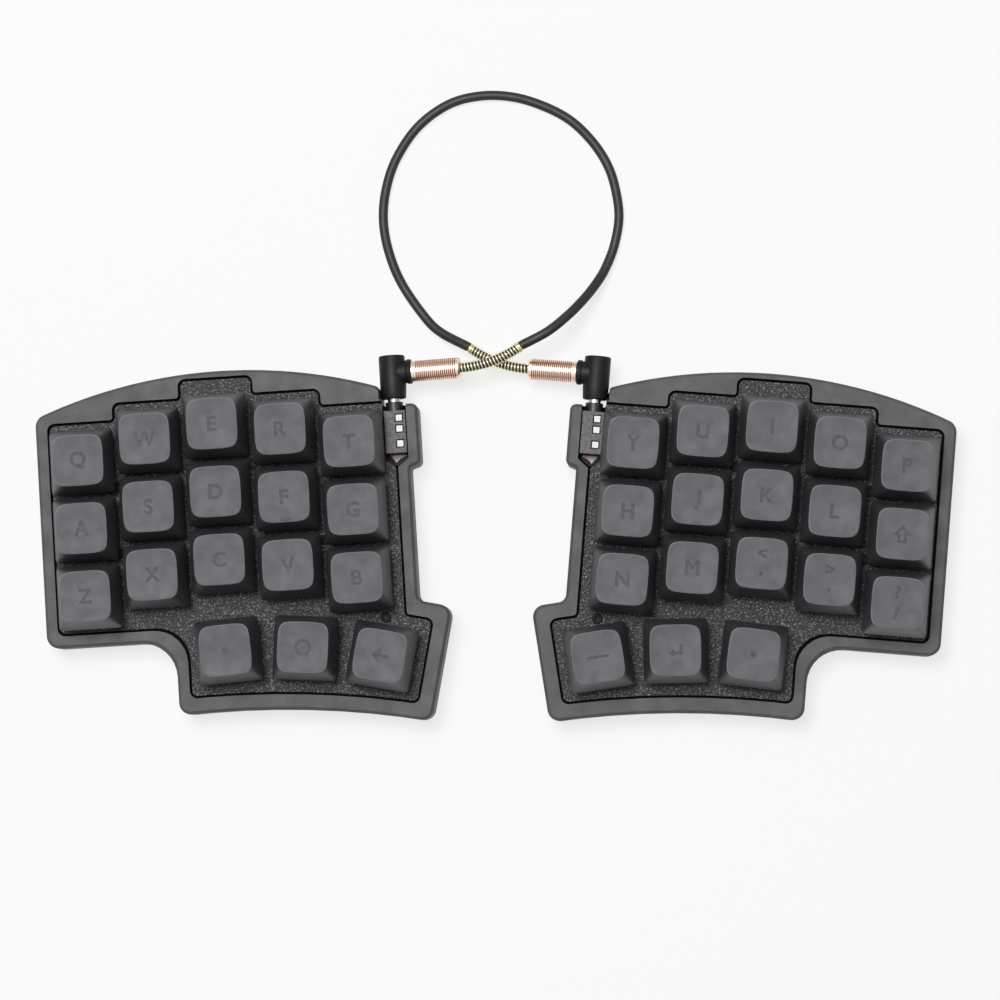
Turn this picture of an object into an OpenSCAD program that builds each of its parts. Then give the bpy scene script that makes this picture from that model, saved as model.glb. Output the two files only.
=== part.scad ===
// Column-staggered split keyboard: two mirrored halves and the short cable that links them.
// X runs to the typist's right, Y away from the typist and Z up. The origin lies on the desk,
// midway across the two cases. Lengths are in millimetres and angles in degrees.

/* [Key layout] */
// Distance from one key to the next
key_pitch = 19.05; // [18.5:0.05:20]
// How far the little-finger column sits nearer the typist than the middle-finger column
pinky_drop = 7.9; // [6:0.1:10]
// How far the ring-finger column sits nearer the typist than the middle-finger column
ring_drop = 3; // [2:0.1:5]
// How far the index-finger column sits nearer the typist than the middle-finger column
index_drop = 2.7; // [2:0.1:5]
// How far the innermost column sits nearer the typist than the middle-finger column
inner_drop = 7.4; // [6:0.1:10]
// Distance of the middle thumb key from the middle-finger column, towards the other half
thumb_reach = 21.9; // [20:0.1:24]
// Distance of the middle thumb key in front of the home row
thumb_drop = 44.9; // [44:0.1:48]
// Radius of the arc that the thumb keys stand on
thumb_radius = 155; // [130:1:200]
// Angle from one thumb key to the next
thumb_step = 8; // [7.5:0.1:9]
// Turn of the middle thumb key
thumb_tilt = 5.5; // [4:0.1:7]

/* [Placing on the desk] */
// Distance between the middle-finger home keys of the two halves
halves_apart = 153.6; // [150:0.1:180]
// How far the right half lies nearer the typist than the left half
right_nearer = 1.1; // [0.1:0.1:5]
// Turn of the left half
left_turn = 3.6; // [1:0.1:6]
// Turn of the right half
right_turn = 4.5; // [1:0.1:6]

/* [Case] */
// Height of the rubber feet
foot_h = 1; // [0.5:0.1:3]
// Diameter of the rubber feet
foot_d = 8; // [6:0.5:10]
// Distance of each foot's middle from the edges of the case
foot_inset = 7; // [6:0.1:9]
// Thickness of the case floor
floor_t = 2; // [1.2:0.1:4]
// Width of the rim at the sides
rim = 4; // [3:0.1:6]
// Width of the rim around the thumb keys
thumb_rim = 5; // [3:0.1:6]
// Width of the rim behind the middle-finger column
back_rim = 2.4; // [1.5:0.1:4]
// Width of the rim behind the little-finger column, at its outer end
outer_back_rim = 2.4; // [1.5:0.1:4]
// Width of the rim behind the innermost column, beside the jack
inner_back_rim = 4.6; // [2.5:0.1:6]
// Height of the rim above the switch plate
rim_rise = 0.6; // [0.2:0.1:1.5]
// Bevel along the top edge of the rim
rim_bevel = 0.8; // [0.3:0.1:1.2]
// Radius of the two outermost corners
outer_corner = 3.6; // [2:0.1:5]
// Radius of the corners round the thumb keys
thumb_corner = 3.4; // [2:0.1:4]
// Radius of the hollow sweep in front of the ring-finger column
sweep_radius = 15; // [10:0.1:18]
// How far the inner front corner is drawn in
front_draw = 1.6; // [0.5:0.1:3]
// Width of the wing of the case beside the jack
wing_w = 3.3; // [2.5:0.1:5]
// How far the back of the wing stays behind the mouth of the jack
wing_sink = 0.5; // [0.2:0.1:1]
// How far the wing reaches in front of the jack
wing_front_reach = 4.2; // [3:0.1:6]

/* [Switch plate] */
// Thickness of the switch plate
plate_t = 1.5; // [1.2:0.1:2]
// Gap between the plate's edge and the rim
plate_gap = 0.7; // [0.3:0.05:0.8]
// Width of the ledge that the plate rests on
ledge = 1.2; // [0.8:0.1:1.5]
// Radius of the plate's corners
plate_corner = 1.5; // [0.8:0.1:2]
// Plate beyond the outermost keys, at the outer side and in front
side_margin = 0.1; // [0.1:0.1:2]
// Plate beyond the innermost column
inner_margin = 2.2; // [1.6:0.1:3]
// Plate behind each column
back_margin = 1.7; // [1:0.1:3]
// More plate behind the middle-finger column, over the USB socket
usb_strip = 2.4; // [2:0.1:4]
// How far the edge of a longer column reaches past its keys
step_margin = 0.4; // [0.1:0.1:0.8]
// Plate beside the thumb keys
thumb_margin = 2; // [1.5:0.1:3]
// Plate behind and in front of the thumb keys
thumb_end_margin = 2.7; // [2:0.1:4]

/* [Boards and screws] */
// Space between the case floor and the circuit board
under_board = 2.6; // [2.2:0.1:5]
// Thickness of the circuit board
board_t = 1.6; // [1.2:0.1:2]
// Gap between the circuit board and the case wall
board_gap = 0.4; // [0.2:0.1:0.8]
// Distance from the top of the circuit board to the top of the switch plate
switch_seat = 5; // [5:0.1:6]
// Diameter of the posts that carry the plate
post_d = 4.4; // [3.6:0.1:4.6]
// Gap round a post where it passes the circuit board
post_gap = 0.3; // [0.2:0.1:0.6]
// Diameter of the plate screws
screw_d = 1.6; // [1.4:0.1:2]
// Diameter of a screw head
screw_head_d = 3; // [2.6:0.1:3.2]
// Depth of a screw head, sunk in the plate
screw_head_h = 0.9; // [0.6:0.1:1.1]
// Length of a screw
screw_l = 6; // [4:0.5:7]
// Room round a screw
screw_fit = 0.05; // [0.02:0.01:0.1]

/* [Switches] */
// Side of the square switch openings in the plate
opening_w = 14; // [13.8:0.05:14.2]
// Room between a switch body and its opening
opening_fit = 0.05; // [0.02:0.01:0.1]
// Side of the flange that rests on the plate
flange_w = 15.6; // [15:0.1:16]
// Thickness of the flange
flange_t = 0.9; // [0.6:0.1:1.2]
// Height of a switch body above the plate
body_h = 6.6; // [6:0.1:7]
// Side of the switch body just above its flange
body_foot_w = 14.6; // [13:0.1:15]
// Side of the switch body at its top
body_top_w = 10.6; // [9:0.1:11]
// Thickness of the floor of a switch body
body_floor = 1.2; // [0.8:0.1:2]
// Diameter of the round slider in a switch
slider_d = 6; // [5.8:0.1:6.4]
// Room between a slider and its bore
slider_fit = 0.2; // [0.1:0.05:0.3]
// How far a slider stays below the top of its switch body
slider_sink = 0.2; // [0.1:0.1:0.6]
// Travel of a key
key_travel = 4; // [3:0.1:4.2]
// Height of the squashed spring, at full travel
spring_squash = 1; // [0.8:0.1:1.5]
// Diameter of the spring under a slider
key_spring_d = 4.4; // [3.8:0.1:5]
// Wall of the spring under a slider
key_spring_t = 0.5; // [0.4:0.1:0.8]
// Width of the cross on a slider
cross_w = 4; // [3.8:0.05:4.2]
// Thickness of the arms of the cross
cross_t = 1.2; // [1:0.05:1.4]
// Height of the cross
cross_h = 3.6; // [3:0.1:4]
// Diameter of the locating pin under a switch
pin_d = 3.9; // [3.5:0.1:4]
// Diameter of the two contact legs under a switch
leg_d = 1.3; // [1:0.1:1.5]
// How far pin and legs reach below the circuit board
leg_reach = 1.2; // [0.4:0.1:1.8]
// Room round pin and legs in the circuit board
leg_fit = 0.1; // [0.05:0.05:0.2]

/* [Keycaps] */
// Width of a keycap at its skirt
cap_w = 18.1; // [17.5:0.1:18.2]
// Width of the dished top of a keycap
cap_top_w = 14.1; // [12:0.1:15]
// Height of a keycap
cap_h = 9.1; // [8.5:0.1:11]
// Height of the skirt above the plate, key up
cap_lift = 5.5; // [5.4:0.1:6.5]
// Thickness of a keycap's walls
cap_wall = 1.4; // [1:0.05:1.5]
// Thickness of a keycap's roof
cap_roof = 1.5; // [1:0.1:1.8]
// Depth of the dish
dish = 0.55; // [0.2:0.05:0.8]
// Height of the rounded edge of the top
cap_edge = 1.1; // [0.6:0.1:1.5]
// Diameter of the boss that takes the cross
cap_boss_d = 5.5; // [5.2:0.1:5.7]
// Room between the cross and its boss
cross_fit = 0.05; // [0.02:0.01:0.1]

/* [Sockets and chips] */
// Width of the jack
jack_w = 6.1; // [5:0.1:6.5]
// Length of the jack
jack_l = 12.1; // [11:0.1:13]
// Height of the jack
jack_h = 5; // [4.8:0.1:5.6]
// Room beside the jack
jack_gap = 0.3; // [0.2:0.1:0.5]
// Distance of the jack's middle from the plate's inner edge
jack_shift = 0.4; // [0.2:0.1:0.8]
// Diameter of the jack's collar
collar_d = 5; // [4.6:0.1:5]
// Length of the jack's collar
collar_l = 2.2; // [1.5:0.1:3]
// Side of the three windows in the top of the jack
window_w = 1.8; // [1:0.1:2]
// Depth of the windows
window_h = 0.4; // [0.2:0.1:0.6]
// Width of the USB socket
usb_w = 9; // [8.9:0.1:9.4]
// Height of the USB socket
usb_h = 3.2; // [3.1:0.1:3.3]
// Length of the USB socket
usb_l = 7; // [6.5:0.1:7.2]
// Wall of the USB socket
usb_wall = 0.35; // [0.25:0.05:0.5]
// How far the tongue stays behind the mouth of the USB socket
usb_tongue_sink = 1; // [0.6:0.1:1.5]
// Width of the tongue in the USB socket
usb_tongue_w = 6.7; // [6:0.1:6.8]
// Thickness of the tongue in the USB socket
usb_tongue_t = 0.7; // [0.6:0.1:0.8]
// Room round the USB socket in the case wall
usb_gap = 0.2; // [0.1:0.1:0.4]
// How far the USB socket stays behind the outside of the case
usb_sink = 0.4; // [0.2:0.1:0.8]
// Side of the controller chip
chip_w = 7; // [5:0.5:9]
// Height of the controller chip
chip_h = 0.9; // [0.6:0.1:1.4]
// Length of a diode
diode_l = 2.7; // [2:0.1:3.5]
// Width of a diode
diode_w = 1.6; // [1:0.1:2]
// Height of a diode
diode_h = 1.1; // [0.8:0.1:1.4]
// Distance of a diode in front of its switch's middle
diode_drop = 6.5; // [4:0.1:7]

/* [Link cable] */
// Diameter of the plug's contact pin
plug_d = 3.5; // [3.4:0.05:3.5]
// Length of the plug's contact pin
plug_l = 14; // [13:0.5:14]
// Room between the pin and the jack
plug_fit = 0.05; // [0.02:0.01:0.1]
// Length of the pin that shows between jack and plug
plug_show = 1.5; // [0.5:0.1:3]
// Depth of the rings between the contacts
ring_depth = 0.15; // [0.1:0.05:0.3]
// Width of the rings between the contacts
ring_w = 0.6; // [0.4:0.1:1]
// Diameter of the plug's elbow
elbow_d = 7.5; // [7:0.1:8]
// Length of the elbow
elbow_l = 12; // [10:0.1:14]
// Bevel on the elbow's ends
elbow_bevel = 0.6; // [0.3:0.1:1]
// Diameter of the boss on the elbow's side
elbow_boss_d = 7.1; // [6.4:0.1:7.2]
// Distance of the boss behind the elbow's middle
boss_lift = 1.2; // [0:0.1:2]
// Length of the boss beyond the elbow
elbow_boss_l = 1.8; // [1:0.1:3]
// Diameter of the metal shell
shell_d = 6; // [5:0.1:6.4]
// Length of the metal shell
shell_l = 14; // [10:0.1:16]
// Number of grooves round the metal shell
shell_grooves = 20; // [6:1:24]
// Depth of the grooves
groove_depth = 0.2; // [0.1:0.05:0.4]
// Plain length at each end of the shell
shell_plain = 1.2; // [0.6:0.1:2]
// How far the left plug is swivelled upwards
left_swivel = 5; // [4.5:0.1:7]
// How far the right plug is swivelled downwards
right_swivel = 5; // [4.5:0.1:7]
// Diameter of the cord
cord_d = 2.7; // [2:0.1:3]
// Wire of the strain-relief springs
wire_d = 0.4; // [0.3:0.05:0.5]
// Room between a strain-relief spring and the cord in it
wire_fit = 0.03; // [0.02:0.01:0.1]
// Distance from one curl of a spring to the next
wire_pitch = 0.98; // [0.95:0.01:1.1]
// Number of curls in each strain-relief spring
curls = 18; // [12:1:18]
// How far each strain-relief spring bends away from the typist
spring_bend = 32; // [20:1:36]

/* [Hidden] */
$fn = 48;
LEFT = -1;
RIGHT = 1;
SIDES = [LEFT, RIGHT];
// How far pieces of one solid sink into each other, and how far cutters reach past a surface
eps = 0.01;
cut = 1;

// Heights
case_z = foot_h;
floor_z = case_z + floor_t;
board_z = floor_z + under_board;
board_top = board_z + board_t;
plate_top = board_top + switch_seat;
plate_z = plate_top - plate_t;
rim_top = plate_top + rim_rise;
cap_z = plate_top + cap_lift;
jack_axis_z = board_top + jack_h / 2;

// Plane geometry
function unit(v) = v / norm(v);
function turned(p, a) = [p.x * cos(a) - p.y * sin(a), p.x * sin(a) + p.y * cos(a)];
function flat(p) = [p.x, p.y];
function right_of(d) = [d.y, -d.x];
function circle_centre(a, b, c) = let (
        d = 2 * (a.x * (b.y - c.y) + b.x * (c.y - a.y) + c.x * (a.y - b.y))
    ) [
        (a * a * (b.y - c.y) + b * b * (c.y - a.y) + c * c * (a.y - b.y)) / d,
        (a * a * (c.x - b.x) + b * b * (a.x - c.x) + c * c * (b.x - a.x)) / d
    ];
// Points on the arc from a to c through b, without a and c, as corners of no radius
function arc_corners(a, b, c, n) = let (
        o = circle_centre(a, b, c),
        start = atan2(a.y - o.y, a.x - o.x),
        sweep = atan2(c.y - o.y, c.x - o.x) - start
    ) [for (i = [1 : n - 1]) concat(o + norm(a - o) * [cos(start + sweep * i / n), sin(start + sweep * i / n)], 0)];

// An outline is a clockwise list of corners [x, y, radius]
ARC_STEPS = 8;
function corner_room(p, q) = norm(flat(q) - flat(p)) * (q[2] == 0 ? 0.95 : 0.48);
function corner_points(q, p, s) = p[2] == 0 ? [flat(p)] : let (
        u = unit(flat(q) - flat(p)),
        w = unit(flat(s) - flat(p)),
        half = acos(u * w) / 2,
        r = min(p[2], min(corner_room(p, q), corner_room(p, s)) * tan(half)),
        o = flat(p) + unit(u + w) * r / sin(half),
        from = flat(p) + u * r / tan(half) - o,
        to = flat(p) + w * r / tan(half) - o,
        start = atan2(from.y, from.x),
        turn = atan2(to.y, to.x) - start,
        sweep = turn > 180 ? turn - 360 : turn < -180 ? turn + 360 : turn
    ) [for (k = [0 : ARC_STEPS]) o + r * [cos(start + sweep * k / ARC_STEPS), sin(start + sweep * k / ARC_STEPS)]];
function rounded(c) = [
    for (i = [0 : len(c) - 1])
        each corner_points(c[(i + len(c) - 1) % len(c)], c[i], c[(i + 1) % len(c)])
];
// One corner moved inwards by d1 from its first edge and by d2 from its second
function corner_inset(q, p, s, d1, d2) = let (
        e1 = unit(flat(p) - flat(q)),
        e2 = unit(flat(s) - flat(p)),
        n1 = right_of(e1),
        n2 = right_of(e2),
        c = n1 * n2,
        move = d1 == d2 ? (n1 + n2) * d1 / (1 + c) : ((d1 - d2 * c) * n1 + (d2 - d1 * c) * n2) / (1 - c * c),
        grow = cross(e1, e2) < 0 ? -max(d1, d2) : max(d1, d2)
    ) concat(flat(p) + move, p[2] == 0 ? 0 : max(p[2] + grow, 0.1));
function inset(c, d) = [
    for (i = [0 : len(c) - 1])
        corner_inset(c[(i + len(c) - 1) % len(c)], c[i], c[(i + 1) % len(c)], d, d)
];

// Keys of one half, as [name, x, y, turn], in the frame of the half: its origin is the
// middle-finger home key and its x axis points towards the other half
FINGERS = ["pinky", "ring", "middle", "index", "inner"];
ROWS = ["bottom", "home", "top"];
THUMBS = ["outer", "middle", "inner"];
drops = [pinky_drop, ring_drop, 0, index_drop, inner_drop];
function column_x(c) = (c - 2) * key_pitch;
function thumb_turn(i) = -thumb_tilt - (i - 1) * thumb_step;
thumb_centre = [thumb_reach, -thumb_drop] - turned([0, thumb_radius], -thumb_tilt);
function thumb_at(i) = thumb_centre + turned([0, thumb_radius], thumb_turn(i));
// A point given in the frame of thumb key i
function by_thumb(i, p) = thumb_at(i) + turned(p, thumb_turn(i));
KEYS = concat(
    [for (c = [0 : 4]) for (r = [0 : 2])
        [str(FINGERS[c], "_", ROWS[r]), column_x(c), (r - 1) * key_pitch - drops[c], 0]],
    [for (i = [0 : 2]) [str("thumb_", THUMBS[i]), thumb_at(i).x, thumb_at(i).y, thumb_turn(i)]]
);

// Plate edges and the jack's place
half_key = key_pitch / 2;
plate_side = 5 * half_key + side_margin;
plate_inner = 5 * half_key + inner_margin;
column_back = [for (c = [0 : 4]) 3 * half_key - drops[c] + back_margin + (c == 2 ? usb_strip : 0)];
plate_front = -3 * half_key - pinky_drop - side_margin;
jack_x = plate_inner + jack_shift;
jack_left = jack_x - jack_w / 2 - jack_gap;
jack_right = jack_x + jack_w / 2 + jack_gap;
jack_mouth = column_back[4];
jack_face = jack_mouth - collar_l;
jack_back = jack_face - jack_l;
notch_depth = 1.6;
notch_front = jack_back - notch_depth;
notch_slant = 2.4;

// Outline of the case
case_side = plate_side + rim;
case_inner = plate_inner + rim;
wing_side = jack_right + wing_w;
wing_back = jack_mouth - wing_sink;
wing_front = jack_back - wing_front_reach;
thumb_side_reach = half_key + thumb_margin + thumb_rim;
thumb_end_reach = half_key + thumb_end_margin + thumb_rim;
back_outer = [-case_side, column_back[0] + outer_back_rim];
back_middle = [0, column_back[2] + back_rim];
back_inner = [jack_left, column_back[4] + inner_back_rim];
shoulder_tip = by_thumb(2, [thumb_side_reach, thumb_end_reach]);
shoulder_way = turned([1, 0], thumb_turn(2));
shoulder_root = shoulder_tip - shoulder_way * (shoulder_tip.x - case_inner) / shoulder_way.x;
front_inner = by_thumb(2, [thumb_side_reach, front_draw - thumb_end_reach]);
front_middle = by_thumb(1, [0, -thumb_end_reach]);
front_outer = thumb_at(0) - [half_key + thumb_margin + rim, thumb_end_reach];
case_front = plate_front - rim;
wing_corner = 1.8;
small_corner = 0.8;
shoulder_corner = 2.5;
BACK_STEPS = 24;
FRONT_STEPS = 8;
case_back = concat(
    [concat(back_outer, outer_corner)],
    arc_corners(back_outer, back_middle, back_inner, BACK_STEPS),
    [concat(back_inner, thumb_corner - small_corner)],
    [[jack_left, wing_back, small_corner],
     [wing_side, wing_back, wing_corner],
     [wing_side, wing_front + wing_corner / 2, wing_corner],
     [case_inner, wing_front, small_corner]]
);
case_thumb = concat(
    [concat(shoulder_root, shoulder_corner)],
    [concat(shoulder_tip, thumb_corner)],
    [concat(front_inner, thumb_corner)],
    arc_corners(front_inner, front_middle, front_outer, FRONT_STEPS)
);
case_outer = [
    concat(front_outer, thumb_corner),
    [front_outer.x, case_front, sweep_radius],
    [-case_side, case_front, outer_corner]
];
case_corners = concat(case_back, case_thumb, case_outer);

// Outline of the switch plate: stepped behind the columns, parallel to the case elsewhere
function step_x(c) = column_x(c) + sign(c - 1.5) * (half_key + step_margin);
plate_back = [
    [-plate_side, column_back[0], plate_corner],
    [step_x(1), column_back[0], plate_corner],
    [step_x(1), column_back[1], plate_corner],
    [step_x(2) - 2 * (half_key + step_margin), column_back[1], plate_corner],
    [step_x(2) - 2 * (half_key + step_margin), column_back[2], plate_corner],
    [step_x(2), column_back[2], plate_corner],
    [step_x(2), column_back[3], plate_corner],
    [step_x(3), column_back[3], plate_corner],
    [step_x(3), column_back[4], plate_corner],
    [jack_left, column_back[4], small_corner / 2],
    [jack_left, notch_front, small_corner],
    [plate_inner, notch_front - notch_slant, small_corner]
];
first_thumb = len(case_back);
first_outer = first_thumb + len(case_thumb);
function wrapped(i) = case_corners[i % len(case_corners)];
function edge_inset(i) = i >= first_thumb && i < first_outer ? thumb_rim : rim;
function plate_radius(i) = wrapped(i)[2] == 0 ? 0 : wrapped(i)[2] == sweep_radius ? sweep_radius + rim : plate_corner;
plate_corners = concat(plate_back, [
    for (i = [first_thumb : len(case_corners) - 1])
        concat(
            flat(corner_inset(wrapped(i - 1), wrapped(i), wrapped(i + 1), edge_inset(i - 1), edge_inset(i))),
            plate_radius(i)
        )
]);
board_corners = inset(plate_corners, ledge + board_gap);

// Screws of one half: between two columns at a boundary of two rows, and one behind the inner thumb key
function web_at(c, r) = [column_x(c) + half_key, r * key_pitch - (drops[c] + drops[c + 1]) / 2];
screw_thumb_offset = [-1.3, half_key + 1.4];
SCREWS = [web_at(0, 0.5), web_at(0, -0.5), web_at(2, 0.5), web_at(3, -0.5), by_thumb(2, screw_thumb_offset)];
// Feet of one half, inside five corners of the case
foot_corners = inset(case_corners, foot_inset);
FEET = [for (i = [0, BACK_STEPS, first_thumb + 2, first_outer, len(case_corners) - 1]) flat(foot_corners[i])];

// Placing of a half, with the origin moved to the middle of both cases
function half_turn(side) = side == LEFT ? left_turn : -right_turn;
function half_at(side) = [side * halves_apart / 2, side == LEFT ? 0 : -right_nearer];
function loose_place(side, p) = half_at(side) + turned([-side * p.x, p.y], half_turn(side));
both_outlines = [for (side = SIDES) for (p = rounded(case_corners)) loose_place(side, p)];
origin_shift = -[
    min([for (p = both_outlines) p.x]) + max([for (p = both_outlines) p.x]),
    min([for (p = both_outlines) p.y]) + max([for (p = both_outlines) p.y])
] / 2;
module on_half(side) {
    translate(concat(origin_shift + half_at(side), 0))
        rotate(half_turn(side))
            mirror([side == LEFT ? 0 : 1, 0, 0])
                children();
}
function on_half_point(side, p) = concat(origin_shift + loose_place(side, p), p.z);
module at_key(key) {
    translate([key[1], key[2], 0])
        rotate(key[3])
            children();
}
module prism(corners, z, h) {
    translate([0, 0, z])
        linear_extrude(h)
            polygon(rounded(corners));
}
module block(size, z, h) {
    translate([-size.x / 2, -size.y / 2, z])
        cube([size.x, size.y, h]);
}
// Four-sided block that tapers from one side length to another
module taper(w1, w2, z, h) {
    translate([0, 0, z])
        rotate(45)
            cylinder(h = h, d1 = w1 * sqrt(2), d2 = w2 * sqrt(2), $fn = 4);
}

// Case
// Ring that cuts the bevel off the rim's top edge: a triangle carried round the outline
module bevel_cutter() {
    over = rim_bevel / 4;
    section = [[-over, rim_top - rim_bevel - over], [-over, rim_top + over], [rim_bevel + over, rim_top + over]];
    n = len(rounded(case_corners));
    polyhedron(
        points = [for (q = section) for (p = rounded(inset(case_corners, q[0]))) concat(p, q[1])],
        faces = [
            for (k = [0 : 2]) for (i = [0 : n - 1])
                let (a = k * n, b = (k + 1) % 3 * n, next = (i + 1) % n)
                    each [[a + i, a + next, b + next], [a + i, b + next, b + i]]
        ]
    );
}
module jack_bay() {
    bay = [
        [jack_left - ledge, jack_face + jack_gap],
        [jack_right, jack_face + jack_gap],
        [jack_right, notch_front],
        [plate_inner + plate_gap, notch_front - notch_slant],
        [jack_left - ledge, notch_front - notch_slant]
    ];
    translate([0, 0, floor_z])
        linear_extrude(rim_top)
            polygon(bay);
    translate([jack_left, jack_face, board_top - jack_gap])
        cube([jack_right - jack_left, collar_l + inner_back_rim + rim, rim_top]);
    translate([jack_x - elbow_d / 2 - jack_gap, elbow_y - jack_gap, jack_axis_z - elbow_d / 2 - jack_gap])
        cube([elbow_d / 2, elbow_l, rim_top]);
}
module usb_outline(grow) {
    h = usb_h + 2 * grow;
    w = usb_w + 2 * grow;
    for (x = [-1, 1])
        translate([x * (w - h) / 2, 0])
            circle(d = h);
    square([w - h, h], center = true);
}
module usb_bar(grow, length) {
    rotate([90, 0, 0])
        linear_extrude(length)
            usb_outline(grow);
}
usb_face = back_middle.y - usb_sink;
module case_half() {
    difference() {
        prism(case_corners, case_z, rim_top - case_z);
        bevel_cutter();
        prism(inset(plate_corners, ledge), floor_z, rim_top);
        prism(inset(plate_corners, -plate_gap), plate_z, rim_top);
        jack_bay();
        translate([0, usb_face + usb_l, board_top + usb_h / 2])
            usb_bar(usb_gap, 2 * usb_l);
    }
    for (p = SCREWS)
        translate([p.x, p.y, floor_z - eps])
            difference() {
                cylinder(d = post_d, h = plate_z - floor_z + eps);
                translate([0, 0, plate_z - floor_z - screw_l])
                    cylinder(d = screw_d + 2 * screw_fit, h = screw_l + cut);
            }
}
module left_case() { color("dimgray") on_half(LEFT) case_half(); }
module right_case() { color("dimgray") on_half(RIGHT) case_half(); }
module rubber_feet() {
    color("#202020")
        for (side = SIDES)
            on_half(side)
                for (p = FEET)
                    translate(p)
                        cylinder(d = foot_d, h = foot_h);
}

// Switch plate and its screws
module plate_half() {
    difference() {
        prism(plate_corners, plate_z, plate_t);
        for (key = KEYS)
            at_key(key)
                block([opening_w, opening_w], plate_z - cut, plate_t + 2 * cut);
        for (p = SCREWS)
            translate([p.x, p.y, plate_top - screw_head_h]) {
                cylinder(d1 = screw_d + 2 * screw_fit, d2 = screw_head_d + 2 * screw_fit, h = screw_head_h + eps);
                translate([0, 0, -plate_t])
                    cylinder(d = screw_d + 2 * screw_fit, h = 2 * plate_t);
            }
    }
}
module left_plate() { color("#4c4c50") on_half(LEFT) plate_half(); }
module right_plate() { color("#4c4c50") on_half(RIGHT) plate_half(); }
module plate_screws() {
    color("#2a2a2c")
        for (side = SIDES)
            on_half(side)
                for (p = SCREWS)
                    translate([p.x, p.y, plate_top]) {
                        translate([0, 0, -screw_head_h])
                            cylinder(d1 = screw_d, d2 = screw_head_d, h = screw_head_h);
                        translate([0, 0, screw_fit - plate_t - screw_l])
                            cylinder(d = screw_d, h = screw_l + plate_t - screw_head_h);
                    }
}

// Circuit board and what is soldered to it
leg_spread = [3.8, 2.5];
module board_half() {
    tongue_side = jack_left - 2 * ledge - board_gap;
    tongue = [
        [tongue_side, jack_face],
        [jack_right - board_gap, jack_face],
        [jack_right - board_gap, notch_front + board_gap],
        [plate_inner + plate_gap, notch_front - notch_slant + 2 * board_gap],
        [tongue_side, notch_front - notch_slant + 2 * board_gap]
    ];
    difference() {
        union() {
            prism(board_corners, board_z, board_t);
            translate([0, 0, board_z])
                linear_extrude(board_t)
                    polygon(tongue);
        }
        for (p = SCREWS)
            translate([p.x, p.y, board_z - cut])
                cylinder(d = post_d + 2 * post_gap, h = board_t + 2 * cut);
        for (key = KEYS)
            at_key(key)
                switch_legs(leg_fit, board_z - cut, board_top + cut);
    }
}
module left_circuit_board() { color("#14301f") on_half(LEFT) board_half(); }
module right_circuit_board() { color("#14301f") on_half(RIGHT) board_half(); }
chip_key = KEYS[5];
module controller_chips() {
    color("#1c1c1e")
        for (side = SIDES)
            on_half(side)
                translate([chip_key[1] + half_key, chip_key[2] - half_key, 0])
                    block([chip_w, chip_w], board_z - chip_h, chip_h);
}
module matrix_diodes() {
    color("#262628")
        for (side = SIDES)
            on_half(side)
                for (key = KEYS)
                    at_key(key)
                        translate([0, -diode_drop, 0])
                            block([diode_l, diode_w], board_z - diode_h, diode_h);
}
module usb_sockets() {
    color("silver")
        for (side = SIDES)
            on_half(side)
                translate([0, usb_face, board_top + usb_h / 2])
                    difference() {
                        usb_bar(0, usb_l);
                        difference() {
                            translate([0, cut, 0])
                                usb_bar(-usb_wall, usb_l - usb_wall + cut);
                            translate([0, -usb_l / 2 - usb_tongue_sink, -usb_tongue_t / 2])
                                block([usb_tongue_w, usb_l], 0, usb_tongue_t);
                        }
                    }
}
// The jack is the same part in both halves, so its windows keep to the typist's right
window_side = 1.2;
WINDOWS = [2.1, 5.2, 9.4];
module jack(side) {
    color("#2c2a30")
        on_half(side)
            difference() {
                union() {
                    translate([jack_x, jack_face - jack_l / 2, 0])
                        block([jack_w, jack_l], board_top, jack_h);
                    translate([jack_x, jack_mouth, jack_axis_z])
                        rotate([90, 0, 0])
                            cylinder(d = collar_d, h = collar_l + cut);
                }
                translate([jack_x, jack_mouth + cut, jack_axis_z])
                    rotate([90, 0, 0])
                        cylinder(d = plug_d + 2 * plug_fit, h = plug_l + cut);
                for (y = WINDOWS)
                    translate([jack_x - side * window_side, jack_face - y, 0])
                        block([window_w, window_w], board_top + jack_h - window_h, window_h + cut);
            }
}
module left_jack() { jack(LEFT); }
module right_jack() { jack(RIGHT); }

// Switch bodies, springs and keys
body_w = opening_w - 2 * opening_fit;
bore_d = slider_d + 2 * slider_fit;
body_base = board_top + body_floor;
slider_base = body_base + key_travel + spring_squash;
slider_top = plate_top + body_h - slider_sink;
module switch_legs(room, z1, z2) {
    translate([0, 0, z1])
        cylinder(d = pin_d + 2 * room, h = z2 - z1);
    for (x = [-1, 1])
        translate([x * leg_spread.x, (x + 3) / 2 * leg_spread.y, z1])
            cylinder(d = leg_d + 2 * room, h = z2 - z1);
}
module switch_body() {
    difference() {
        union() {
            block([body_w, body_w], board_top, switch_seat);
            block([flange_w, flange_w], plate_top, flange_t);
            taper(body_foot_w, body_top_w, plate_top + flange_t, body_h - flange_t);
            switch_legs(0, board_z - leg_reach, board_top + eps);
        }
        translate([0, 0, body_base])
            cylinder(d = bore_d, h = plate_top + body_h);
    }
}
module switch_bodies(side) {
    color("#3a3a3e")
        on_half(side)
            for (key = KEYS)
                at_key(key)
                    switch_body();
}
module left_switch_bodies() { switch_bodies(LEFT); }
module right_switch_bodies() { switch_bodies(RIGHT); }
module key_springs() {
    color("silver")
        for (side = SIDES)
            on_half(side)
                for (key = KEYS)
                    at_key(key)
                        translate([0, 0, body_base])
                            difference() {
                                cylinder(d = key_spring_d, h = slider_base - body_base);
                                translate([0, 0, -cut])
                                    cylinder(d = key_spring_d - 2 * key_spring_t, h = slider_base);
                            }
}
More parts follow.
